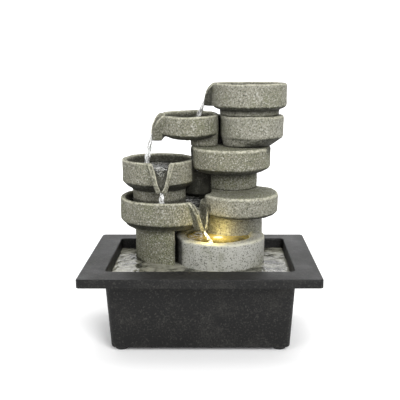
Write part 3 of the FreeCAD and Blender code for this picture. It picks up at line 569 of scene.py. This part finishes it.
# Colour, rubbed colour, least and most roughness, grains per metre and strength of the relief.
MOULDED = {
    "basin_plastic": ((12, 12, 12), (50, 49, 46), 0.45, 0.6, 560.0, 0.45),
    "black_rubber": ((24, 24, 24), (50, 50, 49), 0.7, 0.9, 1600.0, 0.25),
    "pump_plastic": ((38, 38, 41), (60, 60, 64), 0.4, 0.55, 1200.0, 0.25),
    "dial_plastic": ((88, 88, 92), (118, 118, 120), 0.4, 0.5, 1200.0, 0.25),
    "impeller_plastic": ((222, 222, 214), (240, 240, 235), 0.25, 0.35, 900.0, 0.1),
    "shaft_ceramic": ((236, 233, 222), (246, 245, 240), 0.15, 0.25, 1800.0, 0.05),
    "magnet": ((62, 62, 66), (96, 96, 100), 0.5, 0.7, 2200.0, 0.25),
    "clear_hose": ((206, 210, 206), (232, 234, 230), 0.2, 0.35, 500.0, 0.05),
    "lamp_plastic": ((34, 34, 35), (60, 60, 60), 0.35, 0.5, 1300.0, 0.25),
    "cable_sheath": ((28, 28, 28), (48, 48, 48), 0.5, 0.7, 1500.0, 0.25),
}
# Pattern, dark colour, pale colour, features per metre, strength of the relief and its height in metres.
WATERS = {
    # The pale colours of still_water and bowl_water paint reflections, channel_water's paints glints,
    # falling_water's is white froth with painted glints, and foam's is its own.
    "still_water": ("ripples", (44, 44, 37), (138, 137, 124), 60.0, 0.28, 0.0016),
    "bowl_water": ("ripples", (26, 26, 22), (118, 118, 112), 260.0, 0.7, 0.0012),
    "falling_water": ("falling_threads", (98, 96, 90), (252, 253, 252), 700.0, 0.6, 0.0008),
    "channel_water": ("falling_threads", (30, 30, 25), (150, 150, 140), 420.0, 0.5, 0.0010),
    "foam": ("ripples", (200, 204, 200), (250, 250, 248), 700.0, 0.8, 0.0006),
}
# What is the same all over a material's surface.
CONSTANTS = {
    "cast_stone": {"Specular IOR Level": 0.25},
    "basin_plastic": {"Specular IOR Level": 0.24},
    "clear_hose": {"Transmission Weight": 0.4},
    "falling_water": {"Transmission Weight": 0.3},
    "channel_water": {"Transmission Weight": 0.2},
    # The lit water's emission paints the lamp's light in the water.
    "lit_water": {"Emission Strength": 0.95},
    "lamp_glow": {"Emission Color": rgb(255, 222, 130), "Emission Strength": 6.0},
}


def stone_group():
    """Cast stone: slow blotches, sand grains and pits, pale edges of wear and painted highlight, mossy wet
    places that also carry painted shade, and painted shade.
    """
    marks = ("Worn_and_highlit", "Damp_and_shade", "Painted_shade", "Bleached")
    group, ends, out = start_group(
        "stone_grain", [(mark, "Float") for mark in marks],
        ("Body", "Pale", "Grain", "Pit", "Edge", "Moss", "Soot"))
    place = ends.outputs["Place"]
    worn_and_highlit, damp_and_shade, painted_shade, bleached = (ends.outputs[mark] for mark in marks)
    blotch = noise(group, place, 38, 4)
    patch = noise(group, place, 150, 3)
    sand = noise(group, place, 640, 3, 0.7)
    fine = noise(group, place, 1500, 2, 0.6)
    colour = mixed(group, bleached, ends.outputs["Body"], ends.outputs["Pale"])
    # The moss colour also paints shade where the wet mask carries undersides and hollows.
    mossy_shaded = between(group, blotch, 0.42, 0.70, 0.0, 0.5)
    mossy_shaded = maths(group, "ADD", mossy_shaded, maths(group, "MULTIPLY", damp_and_shade, 0.7))
    mossy_shaded = maths(group, "MULTIPLY", mossy_shaded, between(group, patch, 0.35, 0.6, 0.35, 1.0))
    colour = mixed(group, maths(group, "MINIMUM", mossy_shaded, 1.0), colour, ends.outputs["Moss"])
    colour = mixed(group, between(group, sand, 0.48, 0.36, 0.0, 0.95), colour, ends.outputs["Pit"])
    colour = mixed(group, between(group, sand, 0.53, 0.66, 0.0, 0.95), colour, ends.outputs["Grain"])
    colour = mixed(group, between(group, fine, 0.40, 0.62, 0.0, 0.30), colour, ends.outputs["Grain"])
    # The near-black colour paints shade where the painted-shade mask is high.
    shade_here = maths(group, "MULTIPLY", painted_shade, between(group, patch, 0.3, 0.6, 0.88, 1.0))
    colour = mixed(group, maths(group, "MULTIPLY", shade_here, 0.97), colour, ends.outputs["Soot"])
    # The pale edge colour paints wear and a highlight.
    patchy = between(group, maths(group, "ADD", sand, patch), 0.8, 1.05, 0.4, 1.0)
    worn_lit_here = maths(group, "MULTIPLY", worn_and_highlit, patchy)
    colour = mixed(group, maths(group, "MULTIPLY", worn_lit_here, 0.9), colour, ends.outputs["Edge"])
    group.links.new(colour, out.inputs["Color"])
    group.links.new(between(group, sand, 0.3, 0.7, 0.92, 0.74), out.inputs["Roughness"])
    height = maths(group, "ADD", maths(group, "MULTIPLY", sand, 0.7), maths(group, "MULTIPLY", fine, 0.3))
    group.links.new(maths(group, "ADD", height, maths(group, "MULTIPLY", patch, 0.5)), out.inputs["Height"])
    return group


def moulded_group():
    """Moulded plastic or rubber: fine pebbled grain, faint cloudiness and rubbed high spots."""
    group, ends, out = start_group(
        "moulded_grain", [("Scale", "Float"), ("Low", "Float"), ("High", "Float")], ("Body", "Rubbed"))
    place = ends.outputs["Place"]
    grain = put_node(group, "ShaderNodeTexNoise", Vector=place, Scale=ends.outputs["Scale"], Detail=2.0,
                     Roughness=0.6).outputs["Fac"]
    cloud = noise(group, place, 45, 3)
    dust = noise(group, place, 700, 2, 0.7)
    rubbed = ends.outputs["Rubbed"]
    colour = mixed(group, between(group, grain, 0.54, 0.70, 0.0, 0.8), ends.outputs["Body"], rubbed)
    dusty = between(group, maths(group, "ADD", cloud, dust), 0.98, 1.3, 0.0, 0.5)
    colour = mixed(group, dusty, colour, rubbed)
    group.links.new(colour, out.inputs["Color"])
    rough = put_node(group, "ShaderNodeMapRange", i0=cloud, i1=0.3, i2=0.7, i3=ends.outputs["Low"],
                     i4=ends.outputs["High"]).outputs[0]
    group.links.new(rough, out.inputs["Roughness"])
    group.links.new(grain, out.inputs["Height"])
    return group


def new_material(name, group, **values):
    """A material whose colour, roughness and bump come from a group that reads Object coordinates."""
    material = bpy.data.materials.new(name)
    material.use_nodes = True
    tree = material.node_tree
    place = put_node(tree, "ShaderNodeTexCoord").outputs["Object"]
    made = put_node(tree, "ShaderNodeGroup", {"node_tree": group}, Place=place)
    for label, value in values.items():
        made.inputs[label].default_value = value
    shader = tree.nodes["Principled BSDF"]
    for label, value in CONSTANTS.get(name, {}).items():
        shader.inputs[label].default_value = value
    tree.links.new(made.outputs["Color"], shader.inputs["Base Color"])
    tree.links.new(made.outputs["Roughness"], shader.inputs["Roughness"])
    return material, tree, made, shader


def bump(tree, shader, height, strength, distance):
    """Relief from a height, in metres at full height."""
    relief = put_node(tree, "ShaderNodeBump", Height=height, Strength=strength, Distance=distance)
    tree.links.new(relief.outputs[0], shader.inputs["Normal"])


def stone_material(group):
    """The castings' stone, whose wear and painted highlight, moss and painted shade, and paleness come from
    each casting's attributes.
    """
    # The Edge colour paints wear and highlight, the moss colour also paints shade, and the near-black last
    # colour paints shade.
    material, tree, made, shader = new_material(
        "cast_stone", group, Body=rgb(98, 96, 78), Pale=rgb(180, 180, 174), Grain=rgb(160, 159, 152),
        Pit=rgb(46, 46, 38), Edge=rgb(182, 180, 162), Moss=rgb(84, 87, 52), Soot=rgb(20, 20, 15))
    for label in ("worn_and_highlit", "damp_and_shade", "painted_shade", "bleached"):
        mark = put_node(tree, "ShaderNodeAttribute", {"attribute_name": label}).outputs["Fac"]
        tree.links.new(mark, made.inputs[label.capitalize()])
    bump(tree, shader, made.outputs["Height"], 0.55, 0.0007)
    return material


def moulded_material(name, group, body, rubbed, low, high, scale, strength):
    """A moulded finish: colour, rubbed colour, least and most roughness, grain and relief."""
    material, tree, made, shader = new_material(
        name, group, Body=rgb(*body), Rubbed=rgb(*rubbed), Low=low, High=high, Scale=scale)
    bump(tree, shader, made.outputs["Height"], strength, 0.0003)
    return material


def ripple_group():
    """Moving water seen from above: soft ripples of two sizes and a drift of paler and darker places, which
    on the still and bowl water paint reflections of the bright studio.
    """
    group, ends, out = start_group("ripples", [("Scale", "Float")], ("Deep", "Pale"))
    place = ends.outputs["Place"]
    bent = put_node(group, "ShaderNodeTexNoise", Vector=place, Scale=ends.outputs["Scale"], Detail=4.0,
                    Roughness=0.62, Distortion=1.2).outputs["Fac"]
    slow = noise(group, place, 42, 3)
    colour = mixed(group, between(group, maths(group, "ADD", bent, slow), 0.82, 1.16), ends.outputs["Deep"],
                   ends.outputs["Pale"])
    group.links.new(colour, out.inputs["Color"])
    group.links.new(between(group, slow, 0.3, 0.7, 0.05, 0.16), out.inputs["Roughness"])
    group.links.new(maths(group, "ADD", bent, maths(group, "MULTIPLY", slow, 1.5)), out.inputs["Height"])
    return group


def streak_group():
    """Falling water: bright and dark threads drawn out along the fall, with small sparkles of painted glint.
    """
    group, ends, out = start_group("falling_threads", [("Scale", "Float")], ("Deep", "Pale"))
    place = ends.outputs["Place"]
    drawn = put_node(group, "ShaderNodeMapping", i0=place, i3=(1.0, 1.0, 0.22)).outputs[0]
    thread = put_node(group, "ShaderNodeTexNoise", Vector=drawn, Scale=ends.outputs["Scale"], Detail=3.0,
                      Roughness=0.6, Distortion=0.6).outputs["Fac"]
    # Painted glints on the water.
    sparkle = noise(group, place, 900, 2)
    gleam = maths(group, "ADD", thread, maths(group, "MULTIPLY", sparkle, 0.35))
    colour = mixed(group, between(group, gleam, 0.58, 0.76), ends.outputs["Deep"], ends.outputs["Pale"])
    group.links.new(colour, out.inputs["Color"])
    group.links.new(between(group, sparkle, 0.3, 0.7, 0.04, 0.2), out.inputs["Roughness"])
    group.links.new(gleam, out.inputs["Height"])
    return group


def water_material(name, group, deep, pale, scale, strength, distance):
    """Water: its dark and its pale colour, how fine its pattern is and how strong its relief."""
    material, tree, made, shader = new_material(name, group, Deep=rgb(*deep), Pale=rgb(*pale), Scale=scale)
    shader.inputs["IOR"].default_value = 1.33
    bump(tree, shader, made.outputs["Height"], strength, distance)
    return material


def lit_water_material(group):
    """The pool's water over the lamp, with painted lamplight: an amber colour and glow that brightens towards
    the lamp, and a white glare over it.
    """
    # The amber base colours paint the lamp's light in the water.
    material = water_material("lit_water", group, (50, 44, 18), (122, 108, 52), 150.0, 0.4, 0.001)
    tree = material.node_tree
    place = put_node(tree, "ShaderNodeTexCoord").outputs["Object"]
    away = put_node(tree, "ShaderNodeVectorMath", {"operation": "DISTANCE"}, i0=place,
                    i1=(LAMP[0] * MM, LAMP[1] * MM, POOL_DISH["water"] * MM)).outputs["Value"]
    # Painted lamplight: an amber glow that brightens towards the lamp, and a white glare right over it.
    near = between(tree, away, 0.003, 0.026, 1.0, 0.0)
    over = between(tree, away, 0.0028, 0.0062, 1.0, 0.0)
    glow = mixed(tree, near, rgb(62, 52, 14), rgb(196, 168, 84))
    tree.links.new(mixed(tree, over, glow, rgb(255, 252, 232)),
                   tree.nodes["Principled BSDF"].inputs["Emission Color"])
    return material


def lens_material(group):
    """The lamp's clear dome with the glow of the emitter in it."""
    return water_material("lamp_glow", group, (255, 224, 150), (255, 244, 214), 300.0, 0.1, 0.0004)


def make_materials():
    """Every material, under the name of its CAD slot or its kind of water."""
    stone = stone_group()
    grain = moulded_group()
    groups = {"ripples": ripple_group(), "falling_threads": streak_group()}
    made = {"cast_stone": stone_material(stone)}
    for name, finish in MOULDED.items():
        made[name] = moulded_material(name, grain, *finish)
    for name, (pattern, *look) in WATERS.items():
        made[name] = water_material(name, groups[pattern], *look)
    for name in ("lamp_emitter", "lamp_lens"):
        made[name] = lens_material(groups["ripples"])
    made["lit_water"] = lit_water_material(groups["ripples"])
    return made


materials = make_materials()


# ---------------------------------------------------------------- the stack
def four_bowls():
    """The four bowls, from the top down."""
    for seed, (name, bowl) in enumerate(BOWLS.items(), start=3):
        bowl_casting(name, bowl, seed * 31, TONES[name])


def plain_drum(name, circle, low, high, seed, pole=None, meets=(), back=None, **more):
    """A round casting seen as an outline around a pole, cut back where it meets its neighbours.

    low holds its lower corners as (inset, height above its base), and high its upper ones as (inset,
    depth below its top).
    """
    pole = pole or (circle["x"], circle["y"])
    profile = [(inset, circle["base"] + rise) for inset, rise in low]
    profile += [(inset, circle["top"] - depth) for inset, depth in high]

    def reach_of(turn):
        """The least of the way out of the casting's circle, to its neighbours and to its back."""
        reaches = [exit_reach(pole, turn, circle)]
        reaches += [entry_reach(pole, turn, neighbour) for neighbour in meets]
        if back:
            reaches.append(back_reach(pole, turn, back))
        return soft_least(*reaches) if len(reaches) > 1 else reaches[0]

    return drum(name, pole, reach_of, profile, seed, **more)


def low_pool():
    """The lit pool: a wide drum whose dished top is a second circle set a little to the left."""
    pole = (POOL["x"], POOL["y"])

    def outer_reach(turn):
        """The least of the way out of the pool's circle and to its back."""
        return soft_least(exit_reach(pole, turn, POOL), back_reach(pole, turn, BACK))

    turn = even_turns(outer_reach, 300)
    outer = outer_reach(turn)
    dish = exit_reach(pole, turn, POOL_DISH)
    top, floor = POOL["top"], POOL_DISH["floor"]
    path = rounded([
        (30, STONE_FLOOR, 0), (1.2, STONE_FLOOR, 0), (0.2, 60, 0), (0, top - 1.2, 0), (2.2, top, 0),
        (-1.6, top - 0.6, 1), (0, top - 3.2, 1), (1.2, floor + 1.5, 1), (4, floor, 1), (28, floor, 1)], 1.4)
    inset, height, share = path[:, 0][:, None], path[:, 1][:, None], path[:, 2][:, None]
    reach = outer * (1 - share) + dish * share - inset
    rows = np.stack([pole[0] + reach * np.cos(turn), pole[1] + reach * np.sin(turn),
                     np.broadcast_to(height, reach.shape)], axis=-1)
    rows = roughen(rows.reshape(-1, 3), UNEVEN, 211).reshape(rows.shape)
    finish_stone(skin("lit_pool", rows), "lit_pool", TONES["lit_pool"])


def column():
    """The pedestal and the round castings that climb on the right, each from its lower and upper corners."""
    edge = 8.1
    castings = [
        ("pedestal", PEDESTAL, [(40, 0), (0.6, 0), (0, 54.2)], [(0, 0.8), (0.8, 0), (40, 0)], 223,
         dict(pole=(-45.0, 34.0), meets=[GROOVE], back=BACK)),
        ("lower_neck", LOW_NECK, [(24, 0), (0.4, 0), (0, 6)], [(0.2, 1), (0.6, 0), (24, 0)], 227,
         dict(pole=(LOW_NECK["x"], 38.0), back=NECK_BACK)),
        ("lower_disc", LOW_DISC, [(34, 0), (3.4, 0), (0.7, 3.2)], [(0, 1.6), (1.6, 0), (34, 0)], 229,
         dict(meets=[BOWLS["lower_bowl"]])),
        ("upper_neck", UP_NECK, [(21, 0), (0.2, 0), (0, 8)], [(0.4, 0), (21, 0)], 233,
         dict(pole=(UP_NECK["x"], 41.0), back=BACK)),
        ("middle_drum", MID_DRUM, [(36, 0), (9.7, 0), (2.2, 3.7), (0.7, 6)], [(0, 1.6), (1.6, 0), (36, 0)],
         239, {}),
        ("upper_drum", UP_DRUM, [(28, 0), (8.4, 0), (1.6, edge), (0.6, edge + 1.6)],
         [(0, 1.6), (1.6, 0), (28, 0)], 241,
         dict(lean=(-5.0, -2.0, UP_DRUM["base"], UP_DRUM["base"] + edge))),
    ]
    for name, circle, low, high, seed, more in castings:
        finish_stone(plain_drum(name, circle, low, high, seed, **more), name, TONES[name])


def short_post(name, circle, seed, node_name, tone, **more):
    """A plain round post between two castings."""
    half = (circle["top"] - circle["base"]) / 2
    piece = plain_drum(name, circle, [(12, 0), (0, 0), (0, half)], [(0, 0), (12, 0)], seed, count=120, **more)
    finish_stone(piece, node_name, tone)


def posts():
    """The posts behind the bowls on the left, which tie them to the column."""
    short_post("upper_bowl_post", UPPER_POST, 251, None, TONES["upper_bowl"])
    short_post("rear_column", REAR_COLUMN, 257, "rear_column", TONES["rear_column"], pole=(-5.0, 47.0),
               meets=[UP_NECK, MIDDLE_FOOT], back=BACK)
    short_post("rear_post", REAR_POST, 263, "rear_post", TONES["rear_post"], pole=(17.0, 64.0),
               meets=[UP_DRUM, BOWLS["upper_bowl"]])


# ---------------------------------------------------------------- water
def finish_water(piece, material, body):
    """Give water its material and its body."""
    piece.data.materials.clear()
    piece.data.materials.append(materials[material])
    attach(piece, body)
    return piece


def pool_disc(name, circle, level, seed, material, landing=None, lift=0.22, tilt=0.0):
    """A disc of water: level rings, with ripples that spread from where a stream lands.

    Height is a sum of sine waves plus a cosine of the distance to the landing that dies away.
    """
    turn = np.linspace(0, 2 * np.pi, 160, endpoint=False)
    inner = np.linspace(0.02, 1, 56)
    radius = np.concatenate([inner[::-1], inner])
    x = circle["x"] + circle["radius"] * radius[:, None] * np.cos(turn)
    y = circle["y"] + circle["radius"] * radius[:, None] * np.sin(turn)
    top = np.arange(len(radius)) >= len(inner)
    z = np.full(x.shape, float(level)) - 0.9 * (~top)[:, None]
    points = np.stack([x, y, z], axis=-1)
    flat = points.reshape(-1, 3)
    rise = waves(flat, 9, 8, seed) * 0.5 + waves(flat, 3.5, 9, seed + 1) * 0.25
    if landing is not None:
        away = np.hypot(flat[:, 0] - landing[0], flat[:, 1] - landing[1])
        rise += 2.6 * np.cos(away * 2 * np.pi / 4.2) * np.exp(-away / 5.0)
    keep = smooth(-outside(flat, circle) / 2.0)
    flat[:, 2] += rise * lift * keep * np.repeat(top, len(turn))
    flat[:, 2] += (flat[:, 1] - circle["y"]) * math.sin(math.radians(tilt))
    rows = flat.reshape(points.shape)
    return finish_water(skin(name, rows), material, "stone_stack")


def basin_water():
    """The basin's water: rows from the front to the back, raised by sine waves, over a flat underside."""
    half_width, front, back = (BASIN_WATER[side] for side in ("half_width", "front", "back"))
    across = np.linspace(-half_width, half_width, 230)
    x, y = np.meshgrid(across, np.linspace(front, back, 150))
    flat = np.stack([x.ravel(), y.ravel(), np.zeros(x.size)], axis=1)
    rise = waves(flat, 14, 9, 91) * 0.22 + waves(flat, 5, 9, 95) * 0.12
    edge = np.minimum(half_width - np.abs(flat[:, 0]), np.minimum(flat[:, 1] - front, back - flat[:, 1]))
    z = (WATER_Z + rise * smooth(edge / 3)).reshape(x.shape)
    upper = np.stack([x, y, z], axis=-1)
    lower = upper.copy()
    lower[..., 2] = WATER_Z - 1.5
    count = x.size
    grid = np.arange(count).reshape(x.shape)
    top = np.stack([grid[:-1, :-1], grid[:-1, 1:], grid[1:, 1:], grid[1:, :-1]], axis=-1).reshape(-1, 4)
    bottom = top[:, ::-1] + count
    rim = np.concatenate([grid[0, :-1], grid[:-1, -1], grid[-1, :0:-1], grid[:0:-1, 0]])
    following = np.roll(rim, -1)
    sides = np.stack([rim + count, following + count, following, rim], axis=-1)
    points = np.concatenate([upper.reshape(-1, 3), lower.reshape(-1, 3)])
    finish_water(mesh_piece("basin_water", points, [top, bottom, sides]), "still_water", "basin")


def stream(name, route, widths, thick, seed, across, material):
    """Falling water: an ellipse carried along a smooth route, its width swelling and twisting as it falls.

    route is a list of places, widths the half width at each, thick the ellipse's depth over its width.
    """
    route = np.array(route, float)
    path = rounded(np.column_stack([route, widths]), 40.0, step=0.45)
    centre, half = path[:, :3], path[:, 3]
    share = np.linspace(0, 1, len(path))
    ahead = np.gradient(centre, axis=0)
    ahead /= np.linalg.norm(ahead, axis=1)[:, None]
    side = np.array(across, float)
    side = side - ahead * (ahead @ side)[:, None]
    side /= np.linalg.norm(side, axis=1)[:, None]
    depth = np.cross(side, ahead)
    turn = np.linspace(0, 2 * np.pi, 36, endpoint=False)
    strand = 1 + 0.16 * np.sin(3 * turn[None, :] + 9 * share[:, None] + seed) \
        + 0.10 * np.sin(5 * turn[None, :] - 23 * share[:, None] + 2 * seed)
    swell = 1 + 0.12 * np.sin(share * 21 + seed)
    wide = (half * swell)[:, None] * strand * np.cos(turn)
    deep = (half * swell * thick)[:, None] * strand * np.sin(turn)
    rows = centre[:, None, :] + wide[..., None] * side[:, None, :] + deep[..., None] * depth[:, None, :]
    return finish_water(skin(name, rows), material, "stone_stack")


def foam(name, place, radius, seed):
    """A low dome of froth with an uneven outline: height falls with the square of the distance."""
    turn = np.linspace(0, 2 * np.pi, 72, endpoint=False)
    ragged = 1 + 0.18 * np.sin(3 * turn + seed) + 0.12 * np.sin(7 * turn + 2 * seed)
    share = np.concatenate([np.linspace(0.05, 1, 10), np.linspace(1, 0.05, 16)])
    over = np.arange(len(share)) >= 10
    z = np.where(over, 1.1 * (1 - share ** 2), -0.6)
    x = place[0] + radius * share[:, None] * ragged * np.cos(turn)
    y = place[1] + radius * share[:, None] * ragged * np.sin(turn)
    rows = np.stack([x, y, place[2] + np.broadcast_to(z[:, None], x.shape)], axis=-1)
    bumps = waves(rows.reshape(-1, 3), 1.6, 9, seed).reshape(x.shape)
    rows[..., 2] += 0.25 * bumps * over[:, None]
    return finish_water(skin(name, rows), "foam", "stone_stack")


def lamp_glow(name, place, power, pool):
    """The warm light that the water over the lamp throws on the stones round it."""
    glow = bpy.data.lights.new(name, "POINT")
    glow.color = (1.0, 0.80, 0.30)
    glow.energy = power
    glow.shadow_soft_size = 0.004
    lamp = bpy.data.objects.new(name, glow)
    lamp.location = np.array(place) * MM
    lamp.visible_camera = False
    lamp.visible_glossy = False
    scene.collection.objects.link(lamp)
    lamp.parent = pool


def spout_place(bowl, out, z):
    """A place on a spout's middle line: `out` from the bowl's centre, z from its rim."""
    return seat(np.array([[out, 0.0, z]]), bowl)[0]


def water():
    """Every pool and stream: each stream runs out of a bowl, down its channel and falls into the next."""
    basin_water()
    levels = {name: bowl["rim"] - bowl["water"] for name, bowl in BOWLS.items()}
    # Where each bowl's stream lands. A bowl's ripples spread from there, and the top bowl's from the riser.
    targets = {
        "top_bowl": (-4.0, 41.5, levels["upper_bowl"]),
        "upper_bowl": (-55.5, 33.0, levels["middle_bowl"]),
        "middle_bowl": (-38.2, -5.4, levels["lower_bowl"]),
        "lower_bowl": (9.5, -5.0, POOL_DISH["water"]),
    }
    landings = {"upper_bowl": targets["top_bowl"], "middle_bowl": targets["upper_bowl"],
                "lower_bowl": targets["middle_bowl"], "top_bowl": (34.0, 40.0)}
    for seed, (name, bowl) in enumerate(BOWLS.items(), start=5):
        disc = dict(x=bowl["x"], y=bowl["y"], radius=bowl["radius"] - LIP - 0.2)
        pool_disc(f"{name}_water", disc, levels[name], seed * 13, "bowl_water", landings[name],
                  tilt=bowl["tilt"])
        radius, wall = bowl["radius"], bowl["wall"]
        target = np.array(targets[name])
        leave = -bowl["leave"] * (wall + bowl["drop"])
        edge = spout_place(bowl, radius + 0.8 * SPOUT["reach"], leave)
        tip = spout_place(bowl, radius + 1.05 * SPOUT["reach"], leave - 5.0)
        fall = target - tip
        run = [
            spout_place(bowl, radius - LIP - 9, -bowl["water"] - 0.4),
            spout_place(bowl, radius - LIP - 1, -bowl["water"] - 1.0),
            spout_place(bowl, radius + 0.35 * SPOUT["reach"], 0.8 * leave), edge, tip]
        drop = [
            edge, tip, tip + fall * np.array([0.55, 0.55, 0.35]), tip + fall * np.array([0.88, 0.88, 0.72]),
            target + np.array([0, 0, -0.6])]
        side = math.radians(bowl["aim"] + 90)
        across = (math.cos(side), math.sin(side), 0.0)
        stream(f"{name}_run", run, [6.0, 5.0, 2.8, 1.9, 0.8], 0.4, seed, across, "channel_water")
        widths = bowl["flow"] * np.array([2.2, 3.2, 3.6, 3.9, 4.4])
        stream(f"{name}_stream", drop, widths, 0.6, seed, across, "falling_water")
        foam(f"{name}_foam", target, 4.6 * bowl["flow"], seed)
    pool = pool_disc("lit_pool_water", POOL_DISH, POOL_DISH["water"], 171, "lit_water",
                     targets["lower_bowl"], lift=0.15)
    level = POOL_DISH["water"]
    lamp_glow("lamp_light", (LAMP[0], LAMP[1] - 4, level + 4.5), 0.018, pool)
    lamp_glow("lamp_spill", (LAMP[0] - 8, LAMP[1] - 33, level + 11), 0.028, pool)


# ---------------------------------------------------------------- carried-over parts
def dress_cad():
    """Each CAD node that still shows takes the finish of its slot."""
    for entry in frame["record"]["subparts"]:
        mesh = nodes[entry["node"]].data
        mesh.materials.clear()
        mesh.materials.append(materials[entry["material_slot"]])


# ---------------------------------------------------------------- stage, lights and camera
def stage():
    """A pale floor that curves up into a backdrop far behind: a profile carried across."""
    profile = rounded([(-2500, 0), (2200, 0), (2200, 1800)], 900, step=90)
    across = np.linspace(-3200, 3200, 12)
    y, z = profile[:, 0], profile[:, 1]
    points = np.stack([np.broadcast_to(across, (len(y), len(across))),
                       np.broadcast_to(y[:, None], (len(y), len(across))),
                       np.broadcast_to(z[:, None], (len(y), len(across)))], axis=-1)
    grid = np.arange(len(y) * len(across)).reshape(len(y), len(across))
    quads = np.stack([grid[:-1, :-1], grid[:-1, 1:], grid[1:, 1:], grid[1:, :-1]], axis=-1).reshape(-1, 4)
    floor = mesh_piece("floor", points.reshape(-1, 3), [quads])
    paint = bpy.data.materials.new("floor_paint")
    paint.use_nodes = True
    shader = paint.node_tree.nodes["Principled BSDF"]
    shader.inputs["Base Color"].default_value = (0.94, 0.94, 0.94, 1)
    shader.inputs["Roughness"].default_value = 0.8
    floor.data.materials.append(paint)


def soft_light(name, place, aim, size, power):
    """A square soft box that looks at a place."""
    lamp = bpy.data.lights.new(name, "AREA")
    lamp.shape = "SQUARE"
    lamp.size = size
    lamp.energy = power
    box = bpy.data.objects.new(name, lamp)
    x, y, z = np.array(place) - aim
    box.location = place
    box.rotation_euler = (math.atan2(math.hypot(x, y), z), 0, math.atan2(x, -y))
    scene.collection.objects.link(box)


def studio():
    """An even pale world, a key and a fill in front, a light from above and one on the backdrop."""
    world = bpy.data.worlds.new("studio")
    world.use_nodes = True
    sky = world.node_tree.nodes["Background"]
    sky.inputs["Color"].default_value = (1, 1, 1, 1)
    sky.inputs["Strength"].default_value = 0.55
    scene.world = world
    middle = (0, 0.02, 0.14)
    soft_light("key", (0.55, -1.15, 0.85), middle, 0.7, 19)
    soft_light("fill", (-0.9, -0.9, 0.7), middle, 0.9, 7)
    soft_light("top", (0.05, 0.25, 1.5), middle, 1.0, 6)
    soft_light("backdrop_wash", (0, 1.0, 1.6), (0, 2.1, 0.5), 1.6, 34)
    scene.view_settings.view_transform = "Standard"


def camera():
    """A camera in front of the basin and above it, looking down a little."""
    eye = bpy.data.cameras.new("camera")
    eye.lens = 63.0
    eye.sensor_width = 36.0
    eye.shift_x = -0.0364
    seen = bpy.data.objects.new("camera", eye)
    seen.location = (0.0132, -0.6690, 0.2751)
    look_down = 11.85
    seen.rotation_euler = (math.radians(90 - look_down), 0, 0)
    scene.collection.objects.link(seen)
    scene.camera = seen


four_bowls()
low_pool()
column()
posts()
water()
dress_cad()
stage()
studio()
camera()
